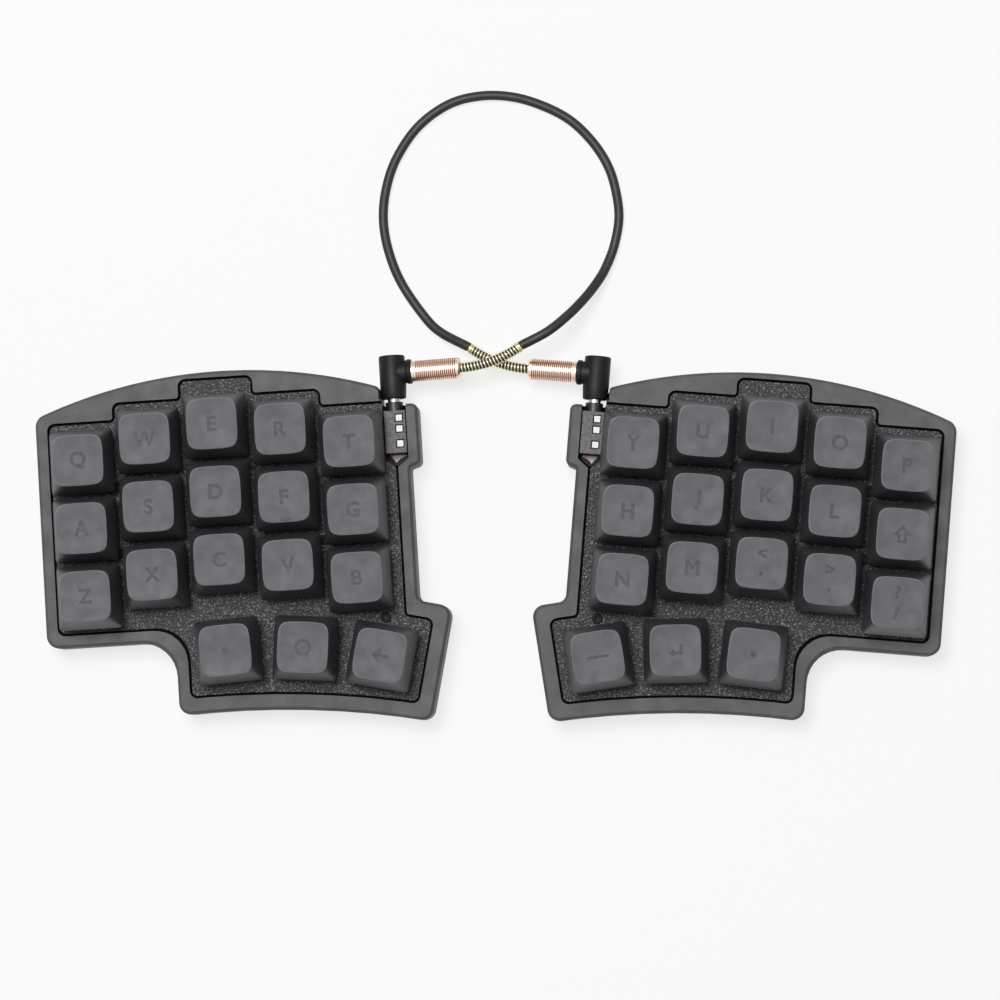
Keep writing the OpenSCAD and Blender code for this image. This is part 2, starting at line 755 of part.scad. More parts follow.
module cross_bars(room, z, h) {
    block([cross_w + 2 * room, cross_t + 2 * room], z, h);
    block([cross_t + 2 * room, cross_w + 2 * room], z, h);
}
// Keycap: rings of a square that turns into a pillow, from the skirt up to the dish
RING_POINTS = 24;
function pillow(w, power, z) = [
    for (i = [0 : RING_POINTS - 1])
        let (c = cos(i * 360 / RING_POINTS), s = sin(i * 360 / RING_POINTS))
            [w / 2 * sign(c) * pow(abs(c), 2 / power), w / 2 * sign(s) * pow(abs(s), 2 / power), z]
];
skirt_power = 20;
shoulder_power = 6;
top_power = 4.4;
cap_edge_w = 0.8;
module keycap_solid() {
    rings = concat(
        pillow(cap_w, skirt_power, cap_z),
        pillow(cap_top_w + cap_edge_w, shoulder_power, cap_z + cap_h - cap_edge),
        pillow(cap_top_w, top_power, cap_z + cap_h - cap_edge / 4),
        pillow(cap_top_w - cap_edge_w, top_power, cap_z + cap_h),
        [[0, 0, cap_z + cap_h - dish]]
    );
    n = RING_POINTS;
    polyhedron(
        points = rings,
        faces = concat(
            [[for (i = [0 : n - 1]) i]],
            [for (k = [0 : 2]) for (i = [0 : n - 1]) [k * n + i, k * n + n + i, k * n + n + (i + 1) % n]],
            [for (k = [0 : 2]) for (i = [0 : n - 1]) [k * n + i, k * n + n + (i + 1) % n, k * n + (i + 1) % n]],
            [for (i = [0 : n - 1]) [3 * n + i, 4 * n, 3 * n + (i + 1) % n]]
        )
    );
}
cap_inner_w = cap_w - 2 * cap_wall;
cap_ceiling = cap_h - dish - cap_roof;
cap_ceiling_w = cap_top_w - 2 * cap_wall;
module keycap() {
    difference() {
        union() {
            difference() {
                keycap_solid();
                taper(cap_inner_w, cap_ceiling_w, cap_z, cap_ceiling);
                taper(cap_inner_w, cap_inner_w, cap_z - cut, cut + eps);
            }
            translate([0, 0, slider_top + cross_fit])
                cylinder(d = cap_boss_d, h = cap_z + cap_ceiling + cap_roof / 2 - slider_top - cross_fit);
        }
        cross_bars(cross_fit, slider_top - cut, cross_h + cross_fit + cut);
    }
}
module slider() {
    translate([0, 0, slider_base])
        cylinder(d = slider_d, h = slider_top - slider_base);
    cross_bars(0, slider_top - eps, cross_h + eps);
}
module key(side, key) {
    on_half(side)
        at_key(key) {
            color("#5b5a60") keycap();
            color("#8a4a3a") slider();
        }
}

// Link cable. In the frame of a plug, X is the axis of the boss, out of the elbow's side, and Y runs away
// from the jack
elbow_y = jack_mouth + plug_show;
elbow_front = -elbow_l / 2 - boss_lift;
elbow_back = elbow_front + elbow_l;
boss_y = elbow_y - elbow_front;
boss_end = elbow_d / 2 + elbow_boss_l;
shell_end = boss_end + shell_l;
function swivel(side) = side == LEFT ? left_swivel : -right_swivel;
module at_plug(side) {
    on_half(side)
        translate([jack_x, boss_y, jack_axis_z])
            rotate([0, -swivel(side), 0])
                children();
}
function at_plug_point(side, p) = let (a = swivel(side))
    on_half_point(side, [
        jack_x + p.x * cos(a) - p.z * sin(a),
        boss_y + p.y,
        jack_axis_z + p.x * sin(a) + p.z * cos(a)
    ]);
module plug_contacts() {
    color("silver")
        for (side = SIDES)
            at_plug(side)
                translate([0, elbow_front, 0])
                    rotate([90, 0, 0])
                        difference() {
                            union() {
                                cylinder(d = plug_d, h = plug_l - plug_d / 2);
                                translate([0, 0, plug_l - plug_d / 2])
                                    cylinder(d1 = plug_d, d2 = plug_d / 3, h = plug_d / 2 - 2 * ring_depth);
                            }
                            for (i = [1 : 3])
                                translate([0, 0, plug_l - plug_d / 2 - i * (plug_d - ring_w)])
                                    difference() {
                                        cylinder(d = plug_d + cut, h = ring_w);
                                        cylinder(d = plug_d - 2 * ring_depth, h = 3 * ring_w, center = true);
                                    }
                        }
}
module plug_elbow(side) {
    color("#303034")
        at_plug(side) {
            rotate([-90, 0, 0])
                rotate_extrude()
                    polygon([
                        [0, elbow_front],
                        [elbow_d / 2 - elbow_bevel, elbow_front],
                        [elbow_d / 2, elbow_front + elbow_bevel],
                        [elbow_d / 2, elbow_back - elbow_bevel],
                        [elbow_d / 2 - elbow_bevel, elbow_back],
                        [0, elbow_back]
                    ]);
            rotate([0, 90, 0])
                cylinder(d = elbow_boss_d, h = boss_end);
        }
}
module left_plug_elbow() { plug_elbow(LEFT); }
module right_plug_elbow() { plug_elbow(RIGHT); }
module plug_shell(side) {
    step = (shell_l - 2 * shell_plain) / shell_grooves;
    side_profile = [
        for (i = [0 : shell_grooves - 1])
            let (x = shell_plain + i * step)
                each [
                    [shell_d / 2, x],
                    [shell_d / 2 - groove_depth, x + step / 2],
                ]
    ];
    color("#d8a890")
        at_plug(side)
            translate([boss_end, 0, 0])
                rotate([0, 90, 0])
                    rotate_extrude()
                        polygon(concat(
                            [[0, 0], [shell_d / 2, 0]],
                            side_profile,
                            [[shell_d / 2, shell_l - shell_plain], [shell_d / 2, shell_l], [0, shell_l]]
                        ));
}
module left_plug_shell() { plug_shell(LEFT); }
module right_plug_shell() { plug_shell(RIGHT); }

// A tube along a list of points: each ring lies square to the way, with one corner along lean
function way_at(path, i) = unit(path[min(i + 1, len(path) - 1)] - path[max(i - 1, 0)]);
function tube_ring(p, way, lean, r, n) = let (
        b = unit(cross(way, lean)),
        a = cross(b, way)
    ) [for (k = [0 : n - 1]) p + r * (cos(k * 360 / n) * a + sin(k * 360 / n) * b)];
module tube(path, leans, r, n) {
    last = len(path) - 1;
    polyhedron(
        points = [for (i = [0 : last]) each tube_ring(path[i], way_at(path, i), leans[i], r, n)],
        faces = concat(
            [for (k = [1 : n - 2]) [0, k, k + 1]],
            [for (k = [1 : n - 2]) [last * n, last * n + k + 1, last * n + k]],
            [for (i = [0 : last - 1]) for (k = [0 : n - 1])
                [i * n + k, i * n + n + k, i * n + n + (k + 1) % n]],
            [for (i = [0 : last - 1]) for (k = [0 : n - 1])
                [i * n + k, i * n + n + (k + 1) % n, i * n + (k + 1) % n]]
        )
    );
}

// Strain-relief spring: a helix round the bent last stretch of the cord, in the frame of its plug
CURL_RINGS = 8;
WIRE_SIDES = 6;
curl_r = (cord_d / 2 + wire_d / 2 + wire_fit) / cos(180 / CURL_RINGS);
spring_l = curls * wire_pitch + 2 * wire_d;
bend_r = spring_l * 180 / (PI * spring_bend);
function bend_angle(x) = spring_bend * x / spring_l;
function bend_point(x) = [shell_end + bend_r * sin(bend_angle(x)), bend_r * (1 - cos(bend_angle(x))), 0];
function bend_side(x) = [-sin(bend_angle(x)), cos(bend_angle(x)), 0];
curl_steps = curls * CURL_RINGS;
function curl_x(i) = wire_d + i * wire_pitch / CURL_RINGS;
function curl_lean(i) = cos(i * 360 / CURL_RINGS) * bend_side(curl_x(i)) + sin(i * 360 / CURL_RINGS) * [0, 0, 1];
curl_points = [for (i = [0 : curl_steps]) bend_point(curl_x(i)) + curl_r * curl_lean(i)];
wire_path = concat(
    [bend_point(0) + curl_r * bend_side(0)],
    curl_points,
    [bend_point(spring_l) + curl_r * bend_side(spring_l)]
);
wire_leans = concat(
    [curl_lean(0)],
    [for (i = [0 : curl_steps]) curl_lean(i)],
    [curl_lean(curl_steps)]
);
least_gap = min([
    for (i = [0 : len(wire_path) - 1])
        for (j = [i + CURL_RINGS / 2 : min(i + 2 * CURL_RINGS, len(wire_path) - 1)])
            norm(wire_path[i] - wire_path[j])
]) - wire_d;
echo(str("least gap between the curls of a strain-relief spring: ", least_gap, " mm"));
module strain_spring(side) {
    color("#b89058")
        at_plug(side)
            tube(wire_path, wire_leans, wire_d / 2, WIRE_SIDES);
}
module left_strain_spring() { strain_spring(LEFT); }
module right_strain_spring() { strain_spring(RIGHT); }

// Cord: from the left shell through its spring, down to the desk, round the loop and up into the right shell
desk_z = cord_d / 2;
LOOP = [
    [15, 60, 12.6],
    [20.6, 64.7, 10.5],
    [25, 69.5, 7.6],
    [28.6, 74.4, 4.7],
    [31.3, 79.2, 2.6],
    [33.8, 86, desk_z],
    [35.1, 94, desk_z],
    [34.1, 102, desk_z],
    [31.8, 109, desk_z],
    [27.4, 115.8, desk_z],
    [21, 122, desk_z],
    [13, 126.2, desk_z],
    [4.5, 128.7, desk_z],
    [-4.6, 129, desk_z],
    [-13.7, 126.6, desk_z],
    [-22.3, 120.3, desk_z],
    [-28.5, 111.2, desk_z],
    [-31.5, 102.1, desk_z],
    [-32.2, 93, desk_z],
    [-30.5, 83.9, desk_z],
    [-26.8, 75, desk_z],
    [-20.3, 65.6, 1.8],
    [-15.5, 60.9, 3.2]
];
CORD_SIDES = 8;
SPRING_STEPS = 8;
spring_stops = concat([0, wire_d], [for (i = [1 : SPRING_STEPS]) i * spring_l / SPRING_STEPS]);
function spring_way(side) = [for (x = spring_stops) at_plug_point(side, bend_point(x))];
function above_desk(p) = [p.x, p.y, max(p.z, desk_z)];
function reversed(list) = [for (i = [len(list) - 1 : -1 : 0]) list[i]];
function catmull(a, b, c, d, t) = b + 0.5 * t * (c - a + t * (2 * a - 5 * b + 4 * c - d + t * (3 * (b - c) + d - a)));
module link_cord() {
    left_way = spring_way(LEFT);
    right_way = reversed(spring_way(RIGHT));
    last = len(spring_stops) - 1;
    stops = concat([left_way[last - 1], left_way[last]], LOOP, [right_way[0], right_way[1]]);
    free_way = [
        for (i = [1 : len(stops) - 3])
            for (t = [0.5, 1])
                above_desk(catmull(stops[i - 1], stops[i], stops[i + 1], stops[i + 2], t))
    ];
    path = concat(left_way, free_way, [for (i = [1 : last]) right_way[i]]);
    color("#38383c")
        tube(path, [for (p = path) [0, 0, 1]], cord_d / 2, CORD_SIDES);
}

function key_name(side, key) = str(side == LEFT ? "left_" : "right_", key[0], "_key");

left_case();
right_case();
left_plate();
right_plate();
left_circuit_board();
right_circuit_board();
left_switch_bodies();
right_switch_bodies();
left_jack();
right_jack();
rubber_feet();
plate_screws();
key_springs();
usb_sockets();
controller_chips();
matrix_diodes();
plug_contacts();
left_plug_elbow();
right_plug_elbow();
left_plug_shell();
right_plug_shell();
left_strain_spring();
right_strain_spring();
link_cord();
for (side = SIDES)
    for (k = KEYS)
        key(side, k);
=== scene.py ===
# Split keyboard: two mirrored halves of tall sprung keys and the short cable that links them.
# The frame is that of the solids: X to the typist's right, Y away from them, Z up. Sizes of pieces are in
# millimetres, which MM turns into Blender's metres. The desk, the lamp and the camera are in metres.
import math

import bmesh
import bpy
from mathutils import Matrix, Vector


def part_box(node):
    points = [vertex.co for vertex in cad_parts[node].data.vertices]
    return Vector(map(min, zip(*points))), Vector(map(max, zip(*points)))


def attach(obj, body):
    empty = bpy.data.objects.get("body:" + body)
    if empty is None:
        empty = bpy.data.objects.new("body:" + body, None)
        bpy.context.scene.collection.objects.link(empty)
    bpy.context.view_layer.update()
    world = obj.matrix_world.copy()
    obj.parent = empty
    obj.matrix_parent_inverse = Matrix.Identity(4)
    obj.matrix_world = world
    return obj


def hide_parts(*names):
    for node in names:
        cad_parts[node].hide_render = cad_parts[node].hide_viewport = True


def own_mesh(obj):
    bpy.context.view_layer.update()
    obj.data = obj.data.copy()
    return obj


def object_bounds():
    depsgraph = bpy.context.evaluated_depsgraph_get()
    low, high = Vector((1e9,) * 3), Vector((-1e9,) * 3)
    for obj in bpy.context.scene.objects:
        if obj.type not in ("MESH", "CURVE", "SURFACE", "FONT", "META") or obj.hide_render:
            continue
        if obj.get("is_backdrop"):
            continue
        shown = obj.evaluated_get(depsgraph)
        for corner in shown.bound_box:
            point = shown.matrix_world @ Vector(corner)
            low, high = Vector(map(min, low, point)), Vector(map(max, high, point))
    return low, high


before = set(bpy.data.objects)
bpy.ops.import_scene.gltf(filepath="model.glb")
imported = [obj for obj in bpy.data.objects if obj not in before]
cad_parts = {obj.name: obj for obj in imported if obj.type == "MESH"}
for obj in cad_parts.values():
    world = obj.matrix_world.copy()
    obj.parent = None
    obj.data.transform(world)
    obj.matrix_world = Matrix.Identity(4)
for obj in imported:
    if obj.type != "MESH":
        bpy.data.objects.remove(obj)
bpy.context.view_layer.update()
MM = 0.001


# Rubber feet. Each half stands on soft black discs, die-cut from sheet and stuck under its corners.
# Their lower edge is worn round and their top lies flat on the case.
def screen_colour(red, green, blue):
    """A colour as a screen shows it, from 0 to 255, in the shader's own numbers."""
    return tuple(((c / 255 + 0.055) / 1.055) ** 2.4 for c in (red, green, blue)) + (1,)


patch_edges = (0.3, 0.7)
patch_detail = 4
grain_detail = 2
gloss_drift = 0.08


def finish(name, dark, light, patch_mm, roughness, grain_mm, depth_mm, shine=0.5, metal=0):
    """A surface whose colour and gloss drift between two states in patches, with a fine grain in it."""
    material = bpy.data.materials.new(name)
    material.use_nodes = True
    nodes = material.node_tree.nodes
    links = material.node_tree.links
    shader = nodes["Principled BSDF"]
    shader.inputs["Specular IOR Level"].default_value = shine
    shader.inputs["Metallic"].default_value = metal
    place = nodes.new("ShaderNodeTexCoord")
    patches = nodes.new("ShaderNodeTexNoise")
    patches.name = "patches"
    patches.inputs["Scale"].default_value = 1 / (patch_mm * MM)
    patches.inputs["Detail"].default_value = patch_detail
    tones = nodes.new("ShaderNodeValToRGB")
    tones.name = "tones"
    for stop, edge, colour in zip(tones.color_ramp.elements, patch_edges, (dark, light)):
        stop.position = edge
        stop.color = colour
    gloss = nodes.new("ShaderNodeMapRange")
    gloss.inputs["From Min"].default_value = patch_edges[0]
    gloss.inputs["From Max"].default_value = patch_edges[1]
    gloss.inputs["To Min"].default_value = roughness * (1 + gloss_drift)
    gloss.inputs["To Max"].default_value = roughness * (1 - gloss_drift)
    grain = nodes.new("ShaderNodeTexNoise")
    grain.inputs["Scale"].default_value = 1 / (grain_mm * MM)
    grain.inputs["Detail"].default_value = grain_detail
    bump = nodes.new("ShaderNodeBump")
    bump.inputs["Distance"].default_value = depth_mm * MM
    links.new(place.outputs["Object"], patches.inputs["Vector"])
    links.new(place.outputs["Object"], grain.inputs["Vector"])
    links.new(patches.outputs["Fac"], tones.inputs["Fac"])
    links.new(patches.outputs["Fac"], gloss.inputs["Value"])
    links.new(tones.outputs["Color"], shader.inputs["Base Color"])
    links.new(gloss.outputs["Result"], shader.inputs["Roughness"])
    links.new(grain.outputs["Fac"], bump.inputs["Height"])
    links.new(bump.outputs["Normal"], shader.inputs["Normal"])
    return material


weld_mm = 0.001


def turned(profile, steps=48):
    """A solid turned round Z from its half section: (radius, height) in millimetres, from pole to pole."""
    bm = bmesh.new()
    line = [bm.verts.new((radius * MM, 0, height * MM)) for radius, height in profile]
    for a, b in zip(line, line[1:]):
        bm.edges.new((a, b))
    bmesh.ops.spin(
        bm, geom=bm.verts[:] + bm.edges[:], cent=(0, 0, 0), axis=(0, 0, 1),
        angle=math.tau, steps=steps, use_merge=True, use_duplicate=False,
    )
    bmesh.ops.remove_doubles(bm, verts=bm.verts, dist=weld_mm * MM)
    bmesh.ops.recalc_face_normals(bm, faces=bm.faces)
    return bm


sharp_angle = 35


def as_mesh(bm, name, *materials, crease=sharp_angle):
    """The finished mesh of a bmesh, with smooth faces and its edges sharp past a crease in degrees."""
    mesh = bpy.data.meshes.new(name)
    bm.to_mesh(mesh)
    bm.free()
    for material in materials:
        mesh.materials.append(material)
    mesh.shade_smooth()
    mesh.set_sharp_from_angle(angle=math.radians(crease))
    return mesh


def copies(mesh, places):
    """A bmesh that holds one mesh at each of several places."""
    bm = bmesh.new()
    for place in places:
        before = len(bm.verts)
        bm.from_mesh(mesh)
        bm.verts.ensure_lookup_table()
        bmesh.ops.transform(bm, matrix=place, verts=bm.verts[before:])
    return bm


def add_piece(name, mesh, slot, *nodes, body="keyboard"):
    """An object in its final place that rides on a body and stands for the solids it is named with."""
    piece = bpy.data.objects.new(name, mesh)
    bpy.context.scene.collection.objects.link(piece)
    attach(piece, body)
    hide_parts(*nodes)
    return piece


def solids_of(node):
    """The box of each separate solid of a node, as pairs of corners, from left to right."""
    bm = bmesh.new()
    bm.from_mesh(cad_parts[node].data)
    bmesh.ops.remove_doubles(bm, verts=bm.verts, dist=weld_mm * MM)
    waiting = set(bm.verts)
    boxes = []
    while waiting:
        to_visit = [waiting.pop()]
        points = []
        while to_visit:
            vert = to_visit.pop()
            points.append(vert.co.copy())
            near = {e.other_vert(vert) for e in vert.link_edges} & waiting
            waiting -= near
            to_visit.extend(near)
        low = Vector(min(p[i] for p in points) for i in range(3))
        high = Vector(max(p[i] for p in points) for i in range(3))
        boxes.append((low, high))
    bm.free()
    return sorted(boxes, key=lambda box: tuple(box[0]))


foot_rubber = finish(
    "foot_rubber", screen_colour(26, 26, 27), screen_colour(36, 36, 37),
    patch_mm=4, roughness=0.85, grain_mm=0.25, depth_mm=0.03,
)
feet_boxes = solids_of("rubber_feet")
foot_r = (feet_boxes[0][1].x - feet_boxes[0][0].x) / 2 / MM
foot_h = feet_boxes[0][1].z / MM
EDGE_WEAR = ((0.5, 0), (0.2, 0.06), (0.05, 0.2), (0, 0.4))
worn_edge = [(foot_r - inset, height) for inset, height in EDGE_WEAR]
foot_mesh = as_mesh(turned([(0, 0), *worn_edge, (foot_r, foot_h), (0, foot_h)]), "foot")
feet_places = [
    Matrix.Translation(((low.x + high.x) / 2, (low.y + high.y) / 2, 0)) for low, high in feet_boxes
]
feet_mesh = as_mesh(copies(foot_mesh, feet_places), "stuck_on_feet", foot_rubber)
add_piece("stuck_on_feet", feet_mesh, "foot_rubber", "rubber_feet")


# Cases. Each half is a low tray of dark satin plastic, moulded in one piece with its posts and its
# jack bay. The rim's edges are softly rounded, and its skin is faintly clouded. Its ledge and inner walls
# are painted near-black as shade.
flat_angle = 1


def softened(node, name, material, slot, radius_mm, segments=3):
    """A copy of a solid with its triangles joined into faces and its sharp edges rounded."""
    bm = bmesh.new()
    bm.from_mesh(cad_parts[node].data)
    bmesh.ops.remove_doubles(bm, verts=bm.verts, dist=2 * weld_mm * MM)
    bmesh.ops.dissolve_limit(bm, angle_limit=math.radians(flat_angle), verts=bm.verts, edges=bm.edges)
    piece = add_piece(name, as_mesh(bm, name, material), slot, node)
    rounding = piece.modifiers.new("rounding", "BEVEL")
    rounding.width = radius_mm * MM
    rounding.segments = segments
    rounding.limit_method = "ANGLE"
    rounding.angle_limit = math.radians(sharp_angle)
    rounding.harden_normals = True
    return piece


case_plastic = finish(
    "case_plastic", screen_colour(80, 80, 82), screen_colour(91, 91, 92),
    patch_mm=5, roughness=0.55, grain_mm=0.18, depth_mm=0.012, shine=0.35,
)
# Painted shade: a near-black skin for the ledge and inner walls, standing for the shade in the gap round the
# plate.
case_gap_painted_shade = finish(
    "case_gap_painted_shade", screen_colour(8, 8, 9), screen_colour(14, 14, 15),
    patch_mm=5, roughness=0.8, grain_mm=0.3, depth_mm=0.02, shine=0.1,
)
case_floor = 2.5
rim_drop = 0.3
wall_slope = 0.5


def paint_gap_shade(case):
    """Paints shade near-black on the ledge and the inner walls of a case, which show only in narrow gaps."""
    mesh = case.data
    mesh.materials.append(case_gap_painted_shade)
    rim_top = max(v.co.z for v in mesh.vertices)
    for face in mesh.polygons:
        heights = [mesh.vertices[i].co.z for i in face.vertices]
        is_wall = abs(face.normal.z) < wall_slope and min(heights) > case_floor * MM
        is_ledge = face.normal.z > wall_slope and max(heights) < rim_top - rim_drop * MM
        if is_wall or is_ledge:
            face.material_index = 1


for side in ("left", "right"):
    case = softened(f"{side}_case", f"{side}_case_shell", case_plastic, "case", radius_mm=0.4, segments=4)
    paint_gap_shade(case)


# Circuit boards. Each half has one board, coated in near-black solder mask, which hangs on the legs of
# the switches. The controller chip and the diodes are soldered under it, and a USB socket at its back
# edge. On its tongue, in front of the jack, a tinned pad is left bare.
def half_frame(side):
    """The place of a half: origin at the middle-finger home key, X to the other half, Y to the back."""
    home, back, front = (
        sum(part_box(f"{side}_middle_{row}_key"), Vector()) / 2 for row in ("home", "top", "bottom")
    )
    away = (back - front).normalized()
    across = Vector((away.y, -away.x, 0)) * (1 if side == "left" else -1)
    return Matrix((
        (across.x, away.x, 0, home.x),
        (across.y, away.y, 0, home.y),
        (0, 0, 1, 0),
        (0, 0, 0, 1),
    ))


def wear(node, material):
    """Gives a solid that is shown as it is its own material."""
    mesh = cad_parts[node].data
    mesh.materials.clear()
    mesh.materials.append(material)


def slab(outline, thickness):
    """A flat piece of one thickness on the plane of its outline, in millimetres."""
    bm = bmesh.new()
    face = bm.faces.new([bm.verts.new((x * MM, y * MM, 0)) for x, y in outline])
    raised = bmesh.ops.extrude_face_region(bm, geom=[face])["geom"]
    upper = [v for v in raised if isinstance(v, bmesh.types.BMVert)]
    bmesh.ops.translate(bm, verts=upper, vec=(0, 0, thickness * MM))
    bmesh.ops.recalc_face_normals(bm, faces=bm.faces)
    return bm


board_mask = finish(
    "board_mask", screen_colour(18, 17, 20), screen_colour(28, 26, 30),
    patch_mm=5, roughness=0.45, grain_mm=0.5, depth_mm=0.02, shine=0.1,
)
chip_epoxy = finish(
    "chip_epoxy", screen_colour(24, 24, 25), screen_colour(32, 32, 34),
    patch_mm=1.5, roughness=0.6, grain_mm=0.1, depth_mm=0.01,
)
socket_steel = finish(
    "socket_steel", screen_colour(176, 176, 178), screen_colour(204, 204, 205),
    patch_mm=1.2, roughness=0.28, grain_mm=0.2, depth_mm=0.002, metal=1,
)
tinned_copper = finish(
    "tinned_copper", screen_colour(146, 126, 132), screen_colour(200, 180, 186),
    patch_mm=0.7, roughness=0.45, grain_mm=0.4, depth_mm=0.03,
)
PAD = [(48, 8.4), (52.6, 8.4), (52.6, 8), (51, 7.3), (50.2, 6.7), (49.8, 6.1), (48.9, 7.3)]
pad_t = 0.06
for side in ("left", "right"):
    wear(f"{side}_circuit_board", board_mask)
    board_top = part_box(f"{side}_circuit_board")[1].z
    bm = slab(PAD, pad_t)
    bmesh.ops.transform(bm, matrix=half_frame(side) @ Matrix.Translation((0, 0, board_top)), verts=bm.verts)
    bmesh.ops.recalc_face_normals(bm, faces=bm.faces)
    add_piece(f"{side}_bare_pad", as_mesh(bm, f"{side}_bare_pad", tinned_copper), "socket_steel")
wear("controller_chips", chip_epoxy)
wear("matrix_diodes", chip_epoxy)
softened("usb_sockets", "usb_socket_cans", socket_steel, "socket_steel", radius_mm=0.08, segments=2)


# Jacks. A moulded block with a round collar lies in the open bay at the inner back corner of each half,
# soldered to the board. Three white squares, the ends of its spring contacts, show in windows in its top,
# nearer to the typist's right.
jack_plastic = finish(
    "jack_plastic", screen_colour(50, 46, 52), screen_colour(98, 92, 98),
    patch_mm=0.6, roughness=0.5, grain_mm=0.3, depth_mm=0.03,
)
window_white = finish(
    "window_white", screen_colour(246, 246, 246), screen_colour(254, 254, 254),
    patch_mm=0.8, roughness=0.5, grain_mm=0.2, depth_mm=0.01,
)
collar_black = finish(
    "collar_black", screen_colour(20, 18, 20), screen_colour(30, 28, 31),
    patch_mm=1, roughness=0.4, grain_mm=0.2, depth_mm=0.01,
)
jack_x = 50.225
jack_face_y = 20.675
jack_w = 6.1
jack_l = 12.1
jack_edge = 0.15
collar_r = 2.5
collar_l = 2.45
collar_edge = 0.15
collar_root = 0.2
bore_r = 1.8
bore_flare = 0.3
window_opening = 2.4
window_frame = 0.35
window_depth = 0.25
window_side = 1.2
roof_slope = 0.9
WINDOWS = (2.1, 5.2, 9.4)
PANE_FACE, BLACK_FACE = 1, 2


def cut_across(bm, place, way):
    """Cuts the faces of a mesh where a plane crosses them, and keeps both sides."""
    bmesh.ops.bisect_plane(
        bm, geom=bm.verts[:] + bm.edges[:] + bm.faces[:], plane_co=Vector(place) * MM, plane_no=way,
    )


def jack_block(side, height):
    """The block with its windows and collar: its origin is under the middle of its mouth face."""
    bm = bmesh.new()
    middle = Vector((0, -jack_l / 2, height / 2)) * MM
    shape = Matrix.Diagonal((jack_w * MM, jack_l * MM, height * MM, 1))
    bmesh.ops.create_cube(bm, size=1, matrix=Matrix.Translation(middle) @ shape)
    bmesh.ops.bevel(
        bm, geom=bm.edges[:], offset=jack_edge * MM, offset_type="OFFSET", segments=2, profile=0.5,
        affect="EDGES", material=-1,
    )
    window_x = window_side if side == "left" else -window_side
    reach = window_opening / 2
    for x in (window_x - reach, window_x + reach):
        cut_across(bm, (x, 0, 0), (1, 0, 0))
    for behind in WINDOWS:
        for y in (-behind - reach, -behind + reach):
            cut_across(bm, (0, y, 0), (0, 1, 0))
    panes = []
    for face in bm.faces:
        spot = face.calc_center_median() / MM
        in_row = abs(spot.x - window_x) < reach and any(abs(spot.y + behind) < reach for behind in WINDOWS)
        if in_row and face.normal.z > roof_slope:
            panes.append(face)
    frames = bmesh.ops.inset_individual(
        bm, faces=panes, thickness=window_frame * MM, depth=-window_depth * MM, use_even_offset=True,
    )["faces"]
    for face in frames:
        face.material_index = BLACK_FACE
    for face in panes:
        face.material_index = PANE_FACE
    collar = turned([
        (bore_r, -collar_root), (bore_r, collar_l - bore_flare), (bore_r + bore_flare, collar_l),
        (collar_r - collar_edge, collar_l), (collar_r, collar_l - collar_edge), (collar_r, -collar_root),
        (bore_r, -collar_root),
    ])
    for face in collar.faces:
        face.material_index = BLACK_FACE
    bmesh.ops.rotate(collar, verts=collar.verts, matrix=Matrix.Rotation(math.radians(-90), 3, "X"))
    bmesh.ops.translate(collar, verts=collar.verts, vec=(0, 0, height / 2 * MM))
    bm.from_mesh(as_mesh(collar, "collar"))
    return bm


for side in ("left", "right"):
    low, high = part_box(f"{side}_jack")
    bm = jack_block(side, (high.z - low.z) / MM)
    mouth_face = Matrix.Translation((jack_x * MM, jack_face_y * MM, low.z))
    bmesh.ops.transform(bm, matrix=half_frame(side) @ mouth_face, verts=bm.verts)
    bmesh.ops.recalc_face_normals(bm, faces=bm.faces)
    name = f"{side}_jack_block"
    mesh = as_mesh(bm, name, jack_plastic, window_white, collar_black, crease=20)
    add_piece(name, mesh, "jack", f"{side}_jack")


# Switch plates. Each half has a stiff plate that its switches clip into, let into the rim with a gap round
# it that is dark from the shade painted on the case. Its black coat is coarse, like cast iron or a sanded
# board, and its sparkle is painted in as pale flecks.
glint_edges = (0.4, 0.56, 0.76)


def coat_with_painted_glints(name):
    """A black coat with grains of a third of a millimetre, and pale flecks in its colour as painted glints.
    """
    material = finish(
        name, screen_colour(20, 20, 20), screen_colour(162, 162, 160),
        patch_mm=0.55, roughness=0.5, grain_mm=0.5, depth_mm=0.2, shine=0.3,
    )
    nodes = material.node_tree.nodes
    nodes["patches"].inputs["Detail"].default_value = 3
    ramp = nodes["tones"].color_ramp
    hollow, shoulder, tip = glint_edges
    ramp.elements[0].position = hollow
    ramp.elements[1].position = tip
    ramp.elements.new(shoulder).color = screen_colour(52, 52, 52)
    return material


plate_coat_glints = coat_with_painted_glints("plate_coat_glints")
for side in ("left", "right"):
    softened(f"{side}_plate", f"{side}_plate_sheet", plate_coat_glints, "plate", radius_mm=0.25)


# Plate screws. Blackened steel screws with a countersunk head and a six-sided socket hold each plate
# down on the posts of its case. They are turned to shape, and the socket is pressed in.
screw_black = finish(
    "screw_black", screen_colour(9, 9, 10), screen_colour(18, 18, 19),
    patch_mm=0.6, roughness=0.4, grain_mm=0.15, depth_mm=0.006, shine=0.1,
)
screw_boxes = solids_of("plate_screws")
head_r = (screw_boxes[0][1].x - screw_boxes[0][0].x) / 2 / MM
screw_l = (screw_boxes[0][1].z - screw_boxes[0][0].z) / MM
shank_r = 0.8
head_h = 0.9
head_edge = (0.12, 0.08)
shank_point = 0.3
socket_r = 0.8
socket_depth = 0.55
socket_mouth = 0.06
socket_foot = (0.032, 0.04)
half_corner = math.radians(30)
bm = turned([
    (0, -socket_depth), (socket_r - socket_foot[0], -socket_depth), (socket_r, socket_foot[1] - socket_depth),
    (socket_r, -socket_mouth), (socket_r + socket_mouth, 0), (head_r - head_edge[0], 0),
    (head_r, -head_edge[1]), (shank_r, -head_h), (shank_r, shank_point - screw_l),
    (shank_r - shank_point, -screw_l), (0, -screw_l),
])
